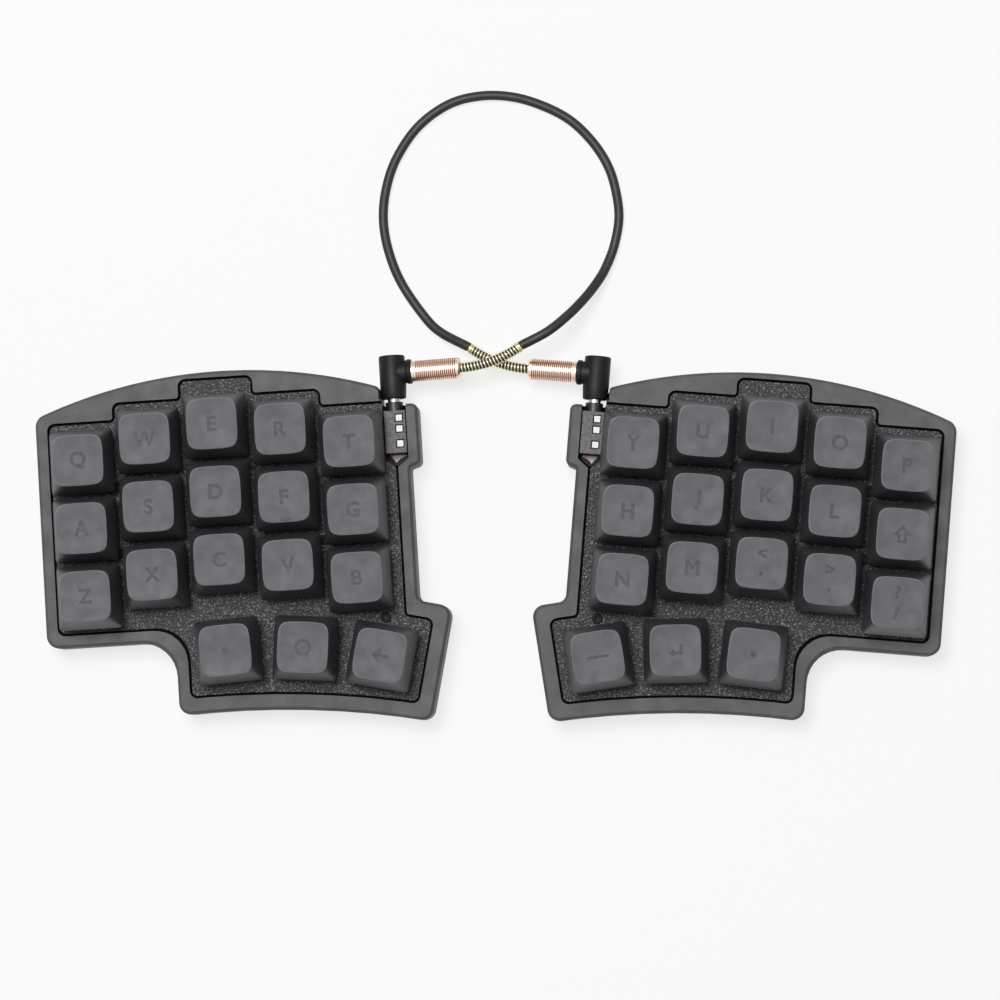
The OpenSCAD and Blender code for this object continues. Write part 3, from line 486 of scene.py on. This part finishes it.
for vert in bm.verts:
    is_socket = vert.co.xy.length <= (socket_r + socket_mouth / 2) * MM
    if is_socket and vert.co.z > -(socket_depth + socket_mouth) * MM:
        turn = math.atan2(vert.co.y, vert.co.x) % (2 * half_corner) - half_corner
        flat = math.cos(half_corner) / math.cos(turn)
        vert.co.x *= flat
        vert.co.y *= flat
screw_mesh = as_mesh(bm, "screw")
screw_places = [
    Matrix.Translation(((low.x + high.x) / 2, (low.y + high.y) / 2, high.z)) for low, high in screw_boxes
]
screws_mesh = as_mesh(copies(screw_mesh, screw_places), "countersunk_screws", screw_black)
add_piece("countersunk_screws", screws_mesh, "screw_steel", "plate_screws")


# Switches. A dark moulded housing stands on the plate under each key, with the round slider in its bore.
# A coil spring under the slider lifts the key again.
switch_plastic = finish(
    "switch_plastic", screen_colour(26, 26, 28), screen_colour(36, 36, 38),
    patch_mm=3, roughness=0.5, grain_mm=0.15, depth_mm=0.006,
)
spring_steel = finish(
    "spring_steel", screen_colour(170, 170, 174), screen_colour(196, 196, 198),
    patch_mm=1, roughness=0.3, grain_mm=0.3, depth_mm=0.003, metal=1,
)
for side in ("left", "right"):
    softened(f"{side}_switch_bodies", f"{side}_switch_housings", switch_plastic, "switch_body", radius_mm=0.3)
coil_r = 1.95
coil_wire_r = 0.2
coil_turns = 6
COIL_STEPS = 16
WIRE_SIDES = 8


def coil_spring(height):
    """A coil spring of round wire on the Z axis, its foot at the origin and its height in metres."""
    bm = bmesh.new()
    start = Matrix.Translation(Vector((coil_r, 0, coil_wire_r)) * MM)
    upright = Matrix.Rotation(math.radians(90), 4, "X")
    bmesh.ops.create_circle(bm, segments=WIRE_SIDES, radius=coil_wire_r * MM, matrix=start @ upright)
    steps = coil_turns * COIL_STEPS
    rise = (height - 2 * coil_wire_r * MM) / steps
    bmesh.ops.spin(
        bm, geom=bm.verts[:] + bm.edges[:], cent=(0, 0, 0), axis=(0, 0, 1), dvec=(0, 0, rise),
        angle=coil_turns * math.tau, steps=steps,
    )
    bmesh.ops.holes_fill(bm, edges=[e for e in bm.edges if e.is_boundary], sides=WIRE_SIDES)
    bmesh.ops.recalc_face_normals(bm, faces=bm.faces)
    return bm


spring_boxes = solids_of("key_springs")
coil_mesh = as_mesh(coil_spring(spring_boxes[0][1].z - spring_boxes[0][0].z), "coil")
for low, high in spring_boxes:
    middle = (low + high) / 2
    key = min(
        (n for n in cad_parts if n.endswith("_key")),
        key=lambda n: (sum(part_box(n), Vector()) / 2 - middle).xy.length,
    )
    foot = Vector((middle.x, middle.y, low.z))
    name = key.replace("_key", "_coil")
    mesh = as_mesh(copies(coil_mesh, [Matrix.Translation(foot)]), name, spring_steel)
    coil = add_piece(name, mesh, "spring_steel", "key_springs")
    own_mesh(coil)


# Keycaps. Tall caps of dark satin plastic, all of one profile: a grey dished pillow top over walls of the
# same plastic, painted near-black as shade. Each is pressed on the cross of its slider, and its legend is
# printed a shade darker than the top.
cap_h = 9.1
cap_skirt_w = 18.1
cap_crest_w = 13.6
cap_shoulder_w = 14.4
cap_edge = 0.5
cap_foot_edge = 0.05
cap_wall = 1.4
cap_dish = 0.55
cap_roof = 1.5
crest_power = 4.4
shoulder_power = 4.9
skirt_power = 20
top_slope = 0.95
highlight_slope = 0.5
boss_r = 2.75
slider_r = 3
TOP_GRID = 24
STEM_SIDES = 32
EDGE_DROPS = (0.03, 0.1, 0.2, 0.34, 0.5)
WALL_DROPS = (1.2, 2.4, 4, 5.6, 7.2, 8.9)
TOP_FACE, EDGE_HIGHLIGHT_FACE, SHADED_WALL_FACE, SLIDER_FACE, PRINT_FACE = range(5)


def pillow_point(x, y, width, power):
    """Where a pillow outline of a width in millimetres crosses the direction of a point, in metres."""
    reach = max(abs(x), abs(y))
    x /= reach
    y /= reach
    scale = (abs(x) ** power + abs(y) ** power) ** (-1 / power) * width / 2 * MM
    return x * scale, y * scale


def outer_ring(drop):
    """Width and power of the cap's outline at a depth below its crest."""
    if drop < cap_edge:
        part = math.sqrt(1 - (1 - drop / cap_edge) ** 2)
        width = cap_crest_w + (cap_shoulder_w - cap_crest_w) * part
        return width, crest_power + (shoulder_power - crest_power) * drop / cap_edge
    part = (drop - cap_edge) / (cap_h - cap_edge)
    width = cap_shoulder_w + (cap_skirt_w - cap_shoulder_w) * part
    return width, shoulder_power * (skirt_power / shoulder_power) ** part


def next_ring(bm, drop, width, power):
    """Extrudes the open edge of a cap to a new outline."""
    bmesh.ops.extrude_edge_only(bm, edges=[e for e in bm.edges if e.is_boundary])
    for vert in {v for e in bm.edges if e.is_boundary for v in e.verts}:
        vert.co.x, vert.co.y = pillow_point(vert.co.x, vert.co.y, width, power)
        vert.co.z = -drop * MM


def dish_height(x, y):
    """Height of the dished top over a point, from the cap's crest, all in metres."""
    half = cap_crest_w / 2 * MM
    reach = ((abs(x) / half) ** crest_power + (abs(y) / half) ** crest_power) ** (1 / crest_power)
    return -cap_dish * MM * (1 - reach ** 2)


def keycap():
    """One cap, its crest at the origin. The grid of its top is drawn closer towards the edge."""
    bm = bmesh.new()
    bmesh.ops.create_grid(bm, x_segments=TOP_GRID, y_segments=TOP_GRID, size=1)
    for vert in bm.verts:
        x, y = (c * (1.5 - 0.5 * c * c) for c in vert.co.xy)
        reach = max(abs(x), abs(y))
        if reach > 0:
            x, y = (c * reach for c in pillow_point(x, y, cap_crest_w, crest_power))
        vert.co = x, y, dish_height(x, y)
    for drop in EDGE_DROPS + WALL_DROPS:
        next_ring(bm, drop, *outer_ring(drop))
    next_ring(bm, cap_h, cap_skirt_w - 2 * cap_foot_edge, skirt_power)
    next_ring(bm, cap_h, cap_skirt_w - 2 * cap_wall, skirt_power)
    next_ring(bm, cap_dish + cap_roof, cap_crest_w - 2 * cap_wall, skirt_power)
    bmesh.ops.contextual_create(bm, geom=[e for e in bm.edges if e.is_boundary])
    bmesh.ops.recalc_face_normals(bm, faces=bm.faces)
    # The top stays grey, the rounded crest edge gets the painted highlight, and every other face gets the
    # painted shade of the walls.
    for face in bm.faces:
        depth = -face.calc_center_median().z / MM
        if face.normal.z > top_slope:
            face.material_index = TOP_FACE
        elif face.normal.z > highlight_slope and depth < cap_edge:
            face.material_index = EDGE_HIGHLIGHT_FACE
        else:
            face.material_index = SHADED_WALL_FACE
    return bm


def stem(bm, top, bottom, radius, face_kind):
    """A round stem on the axis, from one depth below the crest to another."""
    middle = Matrix.Translation((0, 0, -(top + bottom) / 2 * MM))
    made = bmesh.ops.create_cone(
        bm, cap_ends=True, segments=STEM_SIDES, radius1=radius * MM, radius2=radius * MM,
        depth=(bottom - top) * MM, matrix=middle,
    )
    for face in {f for v in made["verts"] for f in v.link_faces}:
        face.material_index = face_kind


cap_top = finish(
    "cap_top", screen_colour(96, 95, 100), screen_colour(108, 107, 112),
    patch_mm=4, roughness=0.62, grain_mm=0.12, depth_mm=0.006, shine=0.35,
)
# Painted highlight: a lighter ring on the rounded crest edge, where light catches it.
cap_edge_highlight = finish(
    "cap_edge_highlight", screen_colour(122, 121, 126), screen_colour(132, 131, 136),
    patch_mm=3, roughness=0.5, grain_mm=0.12, depth_mm=0.004,
)
# Painted shade: the walls are of the top's plastic, made near-black to stand for the shade between the caps.
cap_side_painted_shade = finish(
    "cap_side_painted_shade", screen_colour(46, 45, 48), screen_colour(54, 53, 56),
    patch_mm=6, roughness=0.5, grain_mm=0.12, depth_mm=0.006, shine=1,
)
slider_plastic = finish(
    "slider_plastic", screen_colour(128, 62, 46), screen_colour(142, 72, 54),
    patch_mm=3, roughness=0.45, grain_mm=0.15, depth_mm=0.004,
)
legend_print = finish(
    "legend_print", screen_colour(62, 61, 67), screen_colour(70, 69, 75),
    patch_mm=1.2, roughness=0.6, grain_mm=0.12, depth_mm=0.006,
)
slider_top = 8.2
key_low, key_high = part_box("left_index_home_key")
bm = keycap()
stem(bm, cap_dish + cap_roof / 2, slider_top, boss_r, SHADED_WALL_FACE)
stem(bm, slider_top, (key_high.z - key_low.z) / MM, slider_r, SLIDER_FACE)
cap_mesh = as_mesh(bm, "cap")

LEGENDS = {
    "left": {
        "pinky": ("Z", "A", "Q"),
        "ring": ("X", "S", "W"),
        "middle": ("C", "D", "E"),
        "index": ("V", "F", "R"),
        "inner": ("B", "G", "T"),
    },
    "right": {
        "inner": ("N", "H", "Y"),
        "index": ("M", "J", "U"),
        "middle": ("<,", "K", "I"),
        "ring": (">.", "L", "O"),
        "pinky": ("?/", "⇧", "P"),
    },
}
ROWS = ("bottom", "home", "top")
THUMB_TURNS = {"outer": 2.5, "middle": -5.5, "inner": -13.5}
THUMB_SIGNS = {
    "left": {"outer": "•", "middle": "○", "inner": "←"},
    "right": {"outer": "•", "middle": "⮠", "inner": "—"},
}
letter_h = 5.7
pair_share = 0.8
pair_spread = 2.9
letter_weight = 0.22
letter_corner = 0.7
letter_film = 0.012
letter_step = 0.7
LETTER_ROUNDS = 3
HOMING = ("left_index_home", "right_index_home")
homing_bar = Vector((2.4, 0.7, 0.6))
homing_y = -6.3
homing_edge = 0.25


def embolden(bm):
    """Moves the outline of a flat letter outwards by the letter's weight, and sharp corners not too far."""
    moves = {}
    for vert in bm.verts:
        outs = []
        for edge in vert.link_edges:
            if edge.is_boundary:
                along = edge.verts[1].co - edge.verts[0].co
                out = Vector((along.y, -along.x, 0)).normalized()
                inside = edge.link_faces[0].calc_center_median() - edge.verts[0].co
                outs.append(out if out.dot(inside) < 0 else -out)
        if len(outs) == 2:
            moves[vert] = (outs[0] + outs[1]) / max(1 + outs[0].dot(outs[1]), letter_corner)
    for vert, move in moves.items():
        vert.co += move * letter_weight


def printed(symbol, size_mm, up_mm):
    """A printed letter laid on the dish: a thin closed film, drawn in millimetres before it is laid."""
    curve = bpy.data.curves.new("legend", "FONT")
    curve.body = symbol
    curve.size = size_mm
    letter = bpy.data.objects.new("legend", curve)
    bpy.context.scene.collection.objects.link(letter)
    mesh = bpy.data.meshes.new_from_object(letter.evaluated_get(bpy.context.evaluated_depsgraph_get()))
    bpy.data.objects.remove(letter)
    bm = bmesh.new()
    bm.from_mesh(mesh)
    bmesh.ops.remove_doubles(bm, verts=bm.verts, dist=weld_mm)
    bmesh.ops.triangulate(bm, faces=bm.faces)
    inner_edges = [e for e in bm.edges if not e.is_boundary]
    bmesh.ops.beautify_fill(bm, faces=bm.faces, edges=inner_edges, method="ANGLE")
    embolden(bm)
    low, high = (Vector(pick(v.co[i] for v in bm.verts) for i in range(3)) for pick in (min, max))
    bmesh.ops.translate(bm, verts=bm.verts, vec=Vector((0, up_mm, 0)) - (low + high) / 2)
    for _ in range(LETTER_ROUNDS):
        long_edges = [e for e in bm.edges if e.calc_length() > letter_step]
        bmesh.ops.subdivide_edges(bm, edges=long_edges, cuts=1)
        bmesh.ops.triangulate(bm, faces=bm.faces)
    bmesh.ops.scale(bm, verts=bm.verts, vec=(MM, MM, MM))
    for vert in bm.verts:
        vert.co.z = dish_height(vert.co.x, vert.co.y) - letter_film * MM
    made = bmesh.ops.extrude_face_region(bm, geom=bm.faces[:], use_keep_orig=True)
    upper_verts = [part for part in made["geom"] if isinstance(part, bmesh.types.BMVert)]
    bmesh.ops.translate(bm, verts=upper_verts, vec=(0, 0, 2 * letter_film * MM))
    bmesh.ops.recalc_face_normals(bm, faces=bm.faces)
    for face in bm.faces:
        face.material_index = PRINT_FACE
    bm.to_mesh(mesh)
    bm.free()
    return mesh


def add_homing_bar(bm):
    """A raised bar at the near edge of the top, by which a finger finds its home."""
    middle = Vector((0, homing_y * MM, dish_height(0, homing_y * MM)))
    bar = bmesh.new()
    shape = Matrix.Diagonal((*homing_bar * MM, 1))
    bmesh.ops.create_cube(bar, size=1, matrix=Matrix.Translation(middle) @ shape)
    bmesh.ops.bevel(
        bar, geom=bar.edges[:], offset=homing_edge * MM, offset_type="OFFSET", segments=3, profile=0.5,
        affect="EDGES", material=-1,
    )
    bm.from_mesh(as_mesh(bar, "homing_bar"))


def add_key(side, name, turn, symbols):
    """One key: its cap and slider, with the legend on its top."""
    node = f"{side}_{name}_key"
    low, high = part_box(node)
    place = half_frame(side)
    middle = (low + high) / 2
    crest = Matrix.Translation((middle.x, middle.y, high.z))
    angle = math.atan2(-place[0][1], place[1][1]) + math.radians(turn if side == "left" else -turn)
    bm = bmesh.new()
    bm.from_mesh(cap_mesh)
    if len(symbols) == 2:
        bm.from_mesh(printed(symbols[0], letter_h * pair_share, pair_spread))
        bm.from_mesh(printed(symbols[1], letter_h * pair_share, -pair_spread))
    else:
        bm.from_mesh(printed(symbols, letter_h, 0))
    if f"{side}_{name}" in HOMING:
        add_homing_bar(bm)
    bmesh.ops.transform(bm, matrix=crest @ Matrix.Rotation(angle, 4, "Z"), verts=bm.verts)
    mesh = as_mesh(bm, f"{side}_{name}_cap", cap_top, cap_edge_highlight, cap_side_painted_shade, slider_plastic, legend_print)
    add_piece(f"{side}_{name}_cap", mesh, "keycap", node, body=node)


for side, columns in LEGENDS.items():
    for finger, column in columns.items():
        for row, symbols in zip(ROWS, column):
            add_key(side, f"{finger}_{row}", 0, symbols)
    for thumb, turn in THUMB_TURNS.items():
        add_key(side, f"thumb_{thumb}", turn, THUMB_SIGNS[side][thumb])


# Plugs of the link cable. Each has a black right-angle body with a flanged neck on its side, and a turned
# metal shell in rose gold with fine grooves round it, screwed on the neck. The grooves are painted a darker
# rose as shade. The bright contact pin shows between the body and the jack.
plug_plastic = finish(
    "plug_plastic", screen_colour(14, 14, 15), screen_colour(22, 22, 23),
    patch_mm=4, roughness=0.5, grain_mm=0.15, depth_mm=0.006, shine=0.25,
)
rose_gold = finish(
    "rose_gold", screen_colour(246, 222, 202), screen_colour(252, 234, 216),
    patch_mm=3, roughness=0.26, grain_mm=0.2, depth_mm=0.002, metal=1,
)
# Painted shade and dark reflection: a darker rose gold for the sunk groove faces.
groove_painted_shade = finish(
    "groove_painted_shade", screen_colour(196, 148, 118), screen_colour(216, 168, 138),
    patch_mm=3, roughness=0.4, grain_mm=0.2, depth_mm=0.002, metal=1,
)
elbow_r = 3.7
elbow_mouth_r = 3.5
elbow_front = -7.45
elbow_back = 4.8
elbow_edge = 0.4
elbow_bevel = 0.12
mouth_bevel = 0.1
mouth_flare = 0.1
mouth_flare_l = 2
elbow_taper_l = 3.4
neck_r = 3.25
flange_r = 3.5
flange_t = 1.3
flange_edge = 0.15
flange_bevel = 0.1
flange_chamfer = 0.2
boss_end = 5.55
shell_r = 3
shell_l = 14
shell_plain = 1.2
shell_chamfer = 0.5
grooves = 20
groove_depth = 0.22
rib_share = 0.45
groove_share = 0.72
shell_edge = 0.15
SHELL_STEPS = 64
GROOVE_SHADE_FACE = 1
plug_swivel = {"left": 5, "right": -5}


def plug_frame(side):
    """The place of a plug: origin where its axes meet, X out of the neck, Y away from the jack."""
    half = half_frame(side).to_3x3()
    tilt = math.radians(plug_swivel[side])
    out = half.col[0] * math.cos(tilt) + Vector((0, 0, math.sin(tilt)))
    away = half.col[1]
    shell_middle = sum(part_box(f"{side}_plug_shell"), Vector()) / 2
    origin = shell_middle - out * (boss_end + shell_l / 2) * MM
    place = Matrix((out, away, out.cross(away))).transposed().to_4x4()
    return Matrix.Translation(origin) @ place


def add_plug(side):
    """The body and the shell of one plug."""
    place = plug_frame(side)
    body = turned([
        (0, elbow_front), (elbow_mouth_r - elbow_edge, elbow_front),
        (elbow_mouth_r - mouth_bevel, elbow_front + elbow_bevel), (elbow_mouth_r, elbow_front + elbow_edge),
        (elbow_mouth_r + mouth_flare, elbow_front + mouth_flare_l), (elbow_r, elbow_front + elbow_taper_l),
        (elbow_r, elbow_back - elbow_edge), (elbow_r - elbow_bevel, elbow_back - elbow_bevel),
        (elbow_r - elbow_edge, elbow_back), (0, elbow_back),
    ])
    bmesh.ops.rotate(body, verts=body.verts, matrix=Matrix.Rotation(math.radians(-90), 3, "X"))
    flange_start = boss_end - flange_t
    neck = turned([
        (0, 0), (neck_r, 0), (neck_r, flange_start - flange_edge), (flange_r - flange_bevel, flange_start),
        (flange_r, flange_start + flange_edge), (flange_r, boss_end - flange_chamfer),
        (flange_r - flange_chamfer, boss_end), (0, boss_end),
    ])
    bmesh.ops.rotate(neck, verts=neck.verts, matrix=Matrix.Rotation(math.radians(90), 3, "Y"))
    body.from_mesh(as_mesh(neck, "neck"))
    bmesh.ops.transform(body, matrix=place, verts=body.verts)
    name = f"{side}_plug_body"
    add_piece(name, as_mesh(body, name, plug_plastic), "plug_body", f"{side}_plug_elbow")
    step = (shell_l - 2 * shell_plain) / grooves
    ribs = []
    for i in range(grooves):
        start = shell_plain + i * step
        ribs.append((shell_r, start))
        ribs.append((shell_r, start + rib_share * step))
        ribs.append((shell_r - groove_depth, start + groove_share * step))
    shell = turned(
        [(0, 0), (shell_r - shell_edge, 0), (shell_r, shell_edge), *ribs, (shell_r, shell_l - shell_plain),
         (shell_r, shell_l - shell_chamfer), (shell_r - shell_chamfer, shell_l), (0, shell_l)],
        steps=SHELL_STEPS,
    )
    # The sunk faces of the grooves get the painted shade.
    for face in shell.faces:
        spot = face.calc_center_median() / MM
        is_sunk = spot.xy.length < shell_r - groove_depth / 4
        if is_sunk and shell_plain < spot.z < shell_l - shell_plain:
            face.material_index = GROOVE_SHADE_FACE
    bmesh.ops.rotate(shell, verts=shell.verts, matrix=Matrix.Rotation(math.radians(90), 3, "Y"))
    bmesh.ops.translate(shell, verts=shell.verts, vec=(boss_end * MM, 0, 0))
    bmesh.ops.transform(shell, matrix=place, verts=shell.verts)
    name = f"{side}_ribbed_shell"
    add_piece(name, as_mesh(shell, name, rose_gold, groove_painted_shade), "shell_metal", f"{side}_plug_shell")


for side in ("left", "right"):
    add_plug(side)
wear("plug_contacts", socket_steel)


# Link cord. A round black rubber-jacketed cord leaves the left plug inside a spring of brass wire, which
# keeps it from kinking. It drops to the desk, makes one loop behind the halves and climbs into the right
# plug's spring.
cord_r = 1.35
core_share = 0.95
spring_bend = math.radians(32)
spring_l = 18.44
wire_r = 0.22
curl_r = 1.42
curls = 18
closed_curls = 2.5
CURL_STEPS = 24
SPRING_STOPS = 12
LOOP_STEPS = 8
CORD_SIDES = 6
CURL_SIDES = 2
LOOP = [
    (15, 60, 12.6),
    (20.6, 64.7, 10.5),
    (25, 69.5, 7.6),
    (28.6, 74.4, 4.7),
    (31.3, 79.2, 2.6),
    (33.8, 86, cord_r),
    (35.1, 94, cord_r),
    (34.1, 102, cord_r),
    (31.8, 109, cord_r),
    (27.4, 115.8, cord_r),
    (21, 122, cord_r),
    (13, 126.2, cord_r),
    (4.5, 128.7, cord_r),
    (-4.6, 129, cord_r),
    (-13.7, 126.6, cord_r),
    (-22.3, 120.3, cord_r),
    (-28.5, 111.2, cord_r),
    (-31.5, 102.1, cord_r),
    (-32.2, 93, cord_r),
    (-30.5, 83.9, cord_r),
    (-26.8, 75, cord_r),
    (-20.3, 65.6, 1.8),
    (-15.5, 60.9, 3.2),
]
cord_jacket = finish(
    "cord_jacket", screen_colour(22, 22, 24), screen_colour(30, 30, 32),
    patch_mm=6, roughness=0.5, grain_mm=0.2, depth_mm=0.008,
)
brass_wire = finish(
    "brass_wire", screen_colour(244, 236, 188), screen_colour(252, 246, 208),
    patch_mm=0.8, roughness=0.25, grain_mm=0.2, depth_mm=0.002, metal=1,
)


def spring_axis(x):
    """Point and way of a spring's bent axis, x millimetres out of the shell, in the frame of its plug."""
    turn = spring_bend * x / spring_l
    bend_r = spring_l / spring_bend
    start = boss_end + shell_l
    point = Vector((start + bend_r * math.sin(turn), bend_r * (1 - math.cos(turn)), 0))
    return point * MM, Vector((math.cos(turn), math.sin(turn), 0))


def smooth_way(stops, steps):
    """Points on a smooth line through a list of stops, without its first and last."""
    way = [stops[1]]
    for a, b, c, d in zip(stops, stops[1:], stops[2:], stops[3:]):
        for i in range(1, steps + 1):
            t = i / steps
            bend = 2 * a - 5 * b + 4 * c - d + t * (3 * (b - c) + d - a)
            way.append(b + 0.5 * t * (c - a + t * bend))
    return way


def round_wire(name, points, radius_mm, material, sides):
    """A tube along a line of points, as one open curve."""
    curve = bpy.data.curves.new(name, "CURVE")
    curve.dimensions = "3D"
    curve.bevel_depth = radius_mm * MM
    curve.bevel_resolution = sides
    curve.use_fill_caps = True
    line = curve.splines.new("POLY")
    line.points.add(len(points) - 1)
    for spot, point in zip(line.points, points):
        spot.co = (*point, 1)
    line.use_smooth = True
    curve.materials.append(material)
    return curve


def spring_points(place):
    """The helix of a spring: open curls, and closed ones at the end on the cord."""
    points = []
    turns = curls + closed_curls
    open_l = spring_l - 2 * wire_r * (closed_curls + 0.5)
    for i in range(int(turns * CURL_STEPS) + 1):
        turn = i / CURL_STEPS
        x = wire_r + min(turn, curls) * (open_l - wire_r) / curls + max(turn - curls, 0) * 2 * wire_r
        middle, way = spring_axis(x)
        side_way = Vector((-way.y, way.x, 0))
        angle = turn * math.tau
        round_axis = math.cos(angle) * side_way + Vector((0, 0, math.sin(angle)))
        points.append(place @ (middle + curl_r * MM * round_axis))
    return points


cord_pieces = ["plug_contacts"]
spring_ways = {}
for side in ("left", "right"):
    place = plug_frame(side)
    name = f"{side}_brass_spring"
    wire = round_wire(name, spring_points(place), wire_r, brass_wire, CURL_SIDES)
    add_piece(name, wire, "brass_wire", f"{side}_strain_spring")
    spring_stops = [i * spring_l / SPRING_STOPS for i in range(SPRING_STOPS + 1)]
    spring_ways[side] = [place @ spring_axis(x)[0] for x in spring_stops]
    cord_pieces += [f"{side}_plug_body", f"{side}_ribbed_shell", name]
left_way = spring_ways["left"]
right_way = spring_ways["right"][::-1]
stops = left_way[-2:] + [Vector(p) * MM for p in LOOP] + right_way[:2]
free_way = smooth_way(stops, LOOP_STEPS)
for point in free_way:
    point.z = max(point.z, cord_r * MM)
cord_way = left_way[:-1] + free_way + right_way[1:]
cord_curve = round_wire("loop_cord", cord_way, cord_r, cord_jacket, CORD_SIDES)
cord_spots = cord_curve.splines[0].points
for spot in cord_spots[:SPRING_STOPS + 1] + cord_spots[-SPRING_STOPS - 1:]:
    spot.radius = core_share
cord = add_piece("loop_cord", cord_curve, "cord_jacket", "link_cord")


# Desk, light and camera. A plain pale desk stands under one soft lamp high at the back left, in a white
# room. It is seen from high above the near right.
def brightest(tree, *outputs):
    """The largest of a few of the light path's marks."""
    found = outputs[0]
    for output in outputs[1:]:
        larger = tree.nodes.new("ShaderNodeMath")
        larger.operation = "MAXIMUM"
        tree.links.new(found, larger.inputs[0])
        tree.links.new(output, larger.inputs[1])
        found = larger.outputs["Value"]
    return found


desk_tone = 0.97
desk_roughness = 0.9
desk_reach = 3
desk_gap = 0.0001
seen_share = 0.76
desk_pale = bpy.data.materials.new("desk_pale")
desk_pale.use_nodes = True
tree = desk_pale.node_tree
shader = tree.nodes["Principled BSDF"]
shader.inputs["Base Color"].default_value = (desk_tone, desk_tone, desk_tone, 1)
shader.inputs["Roughness"].default_value = desk_roughness
glow = tree.nodes.new("ShaderNodeEmission")
glow.inputs["Color"].default_value = (1, 1, 1, 1)
rays = tree.nodes.new("ShaderNodeLightPath")
seen = tree.nodes.new("ShaderNodeMath")
seen.operation = "MULTIPLY"
seen.inputs[1].default_value = seen_share
mix = tree.nodes.new("ShaderNodeMixShader")
marks = [rays.outputs[f"Is {kind} Ray"] for kind in ("Camera", "Glossy", "Transmission")]
tree.links.new(brightest(tree, *marks), seen.inputs[0])
tree.links.new(seen.outputs["Value"], mix.inputs["Fac"])
tree.links.new(shader.outputs["BSDF"], mix.inputs[1])
tree.links.new(glow.outputs["Emission"], mix.inputs[2])
tree.links.new(mix.outputs["Shader"], tree.nodes["Material Output"].inputs["Surface"])
bm = bmesh.new()
bmesh.ops.create_grid(bm, x_segments=1, y_segments=1, size=desk_reach)
bmesh.ops.translate(bm, verts=bm.verts, vec=(0, 0, -desk_gap))
desk = bpy.data.objects.new("desk", as_mesh(bm, "desk", desk_pale))
bpy.context.scene.collection.objects.link(desk)
desk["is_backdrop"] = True

room_fill = 0.12
room_horizon = 0.4
world = bpy.data.worlds.new("room")
bpy.context.scene.world = world
world.use_nodes = True
tree = world.node_tree
fill = tree.nodes["Background"]
white = tree.nodes.new("ShaderNodeBackground")
walls = tree.nodes.new("ShaderNodeBackground")
for background in (fill, white, walls):
    background.inputs["Color"].default_value = (1, 1, 1, 1)
fill.inputs["Strength"].default_value = room_fill
place = tree.nodes.new("ShaderNodeTexCoord")
split = tree.nodes.new("ShaderNodeSeparateXYZ")
height = tree.nodes.new("ShaderNodeMapRange")
height.inputs["To Min"].default_value = room_horizon
height.inputs["To Max"].default_value = 1
tree.links.new(place.outputs["Generated"], split.inputs["Vector"])
tree.links.new(split.outputs["Z"], height.inputs["Value"])
tree.links.new(height.outputs["Result"], walls.inputs["Strength"])
rays = tree.nodes.new("ShaderNodeLightPath")
mirrored = tree.nodes.new("ShaderNodeMixShader")
tree.links.new(rays.outputs["Is Glossy Ray"], mirrored.inputs["Fac"])
tree.links.new(fill.outputs["Background"], mirrored.inputs[1])
tree.links.new(walls.outputs["Background"], mirrored.inputs[2])
shown = tree.nodes.new("ShaderNodeMixShader")
marks = [rays.outputs[f"Is {kind} Ray"] for kind in ("Camera", "Transmission")]
tree.links.new(brightest(tree, *marks), shown.inputs["Fac"])
tree.links.new(mirrored.outputs["Shader"], shown.inputs[1])
tree.links.new(white.outputs["Background"], shown.inputs[2])
tree.links.new(shown.outputs["Shader"], tree.nodes["World Output"].inputs["Surface"])

lamp_place = Vector((-0.25, 0.35, 1.65))
lamp_side = 0.7
lamp_watts = 22.5
light = bpy.data.lights.new("softbox", "AREA")
light.size = lamp_side
light.energy = lamp_watts
lamp = bpy.data.objects.new("softbox", light)
lamp.location = lamp_place
lamp.rotation_euler = (-lamp_place).to_track_quat("-Z", "Y").to_euler()
bpy.context.scene.collection.objects.link(lamp)

eye = Vector((0.058, -0.0578, 1.15))
aim = Vector((0.0026, 0.01166, 0.0268))
photo_up = Vector((-0.0023, 1, 0))
lens_mm = 145.95
sensor_mm = 36
sight_end = 10
look = (aim - eye).normalized()
right = look.cross(photo_up).normalized()
turn = Matrix((right, right.cross(look), -look)).transposed()
camera = bpy.data.objects.new("camera", bpy.data.cameras.new("camera"))
camera.data.sensor_width = sensor_mm
camera.data.lens = lens_mm
camera.data.clip_end = sight_end
camera.matrix_world = Matrix.Translation(eye) @ turn.to_4x4()
bpy.context.scene.collection.objects.link(camera)
bpy.context.scene.camera = camera
bpy.context.scene.view_settings.view_transform = "Standard"

low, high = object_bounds()
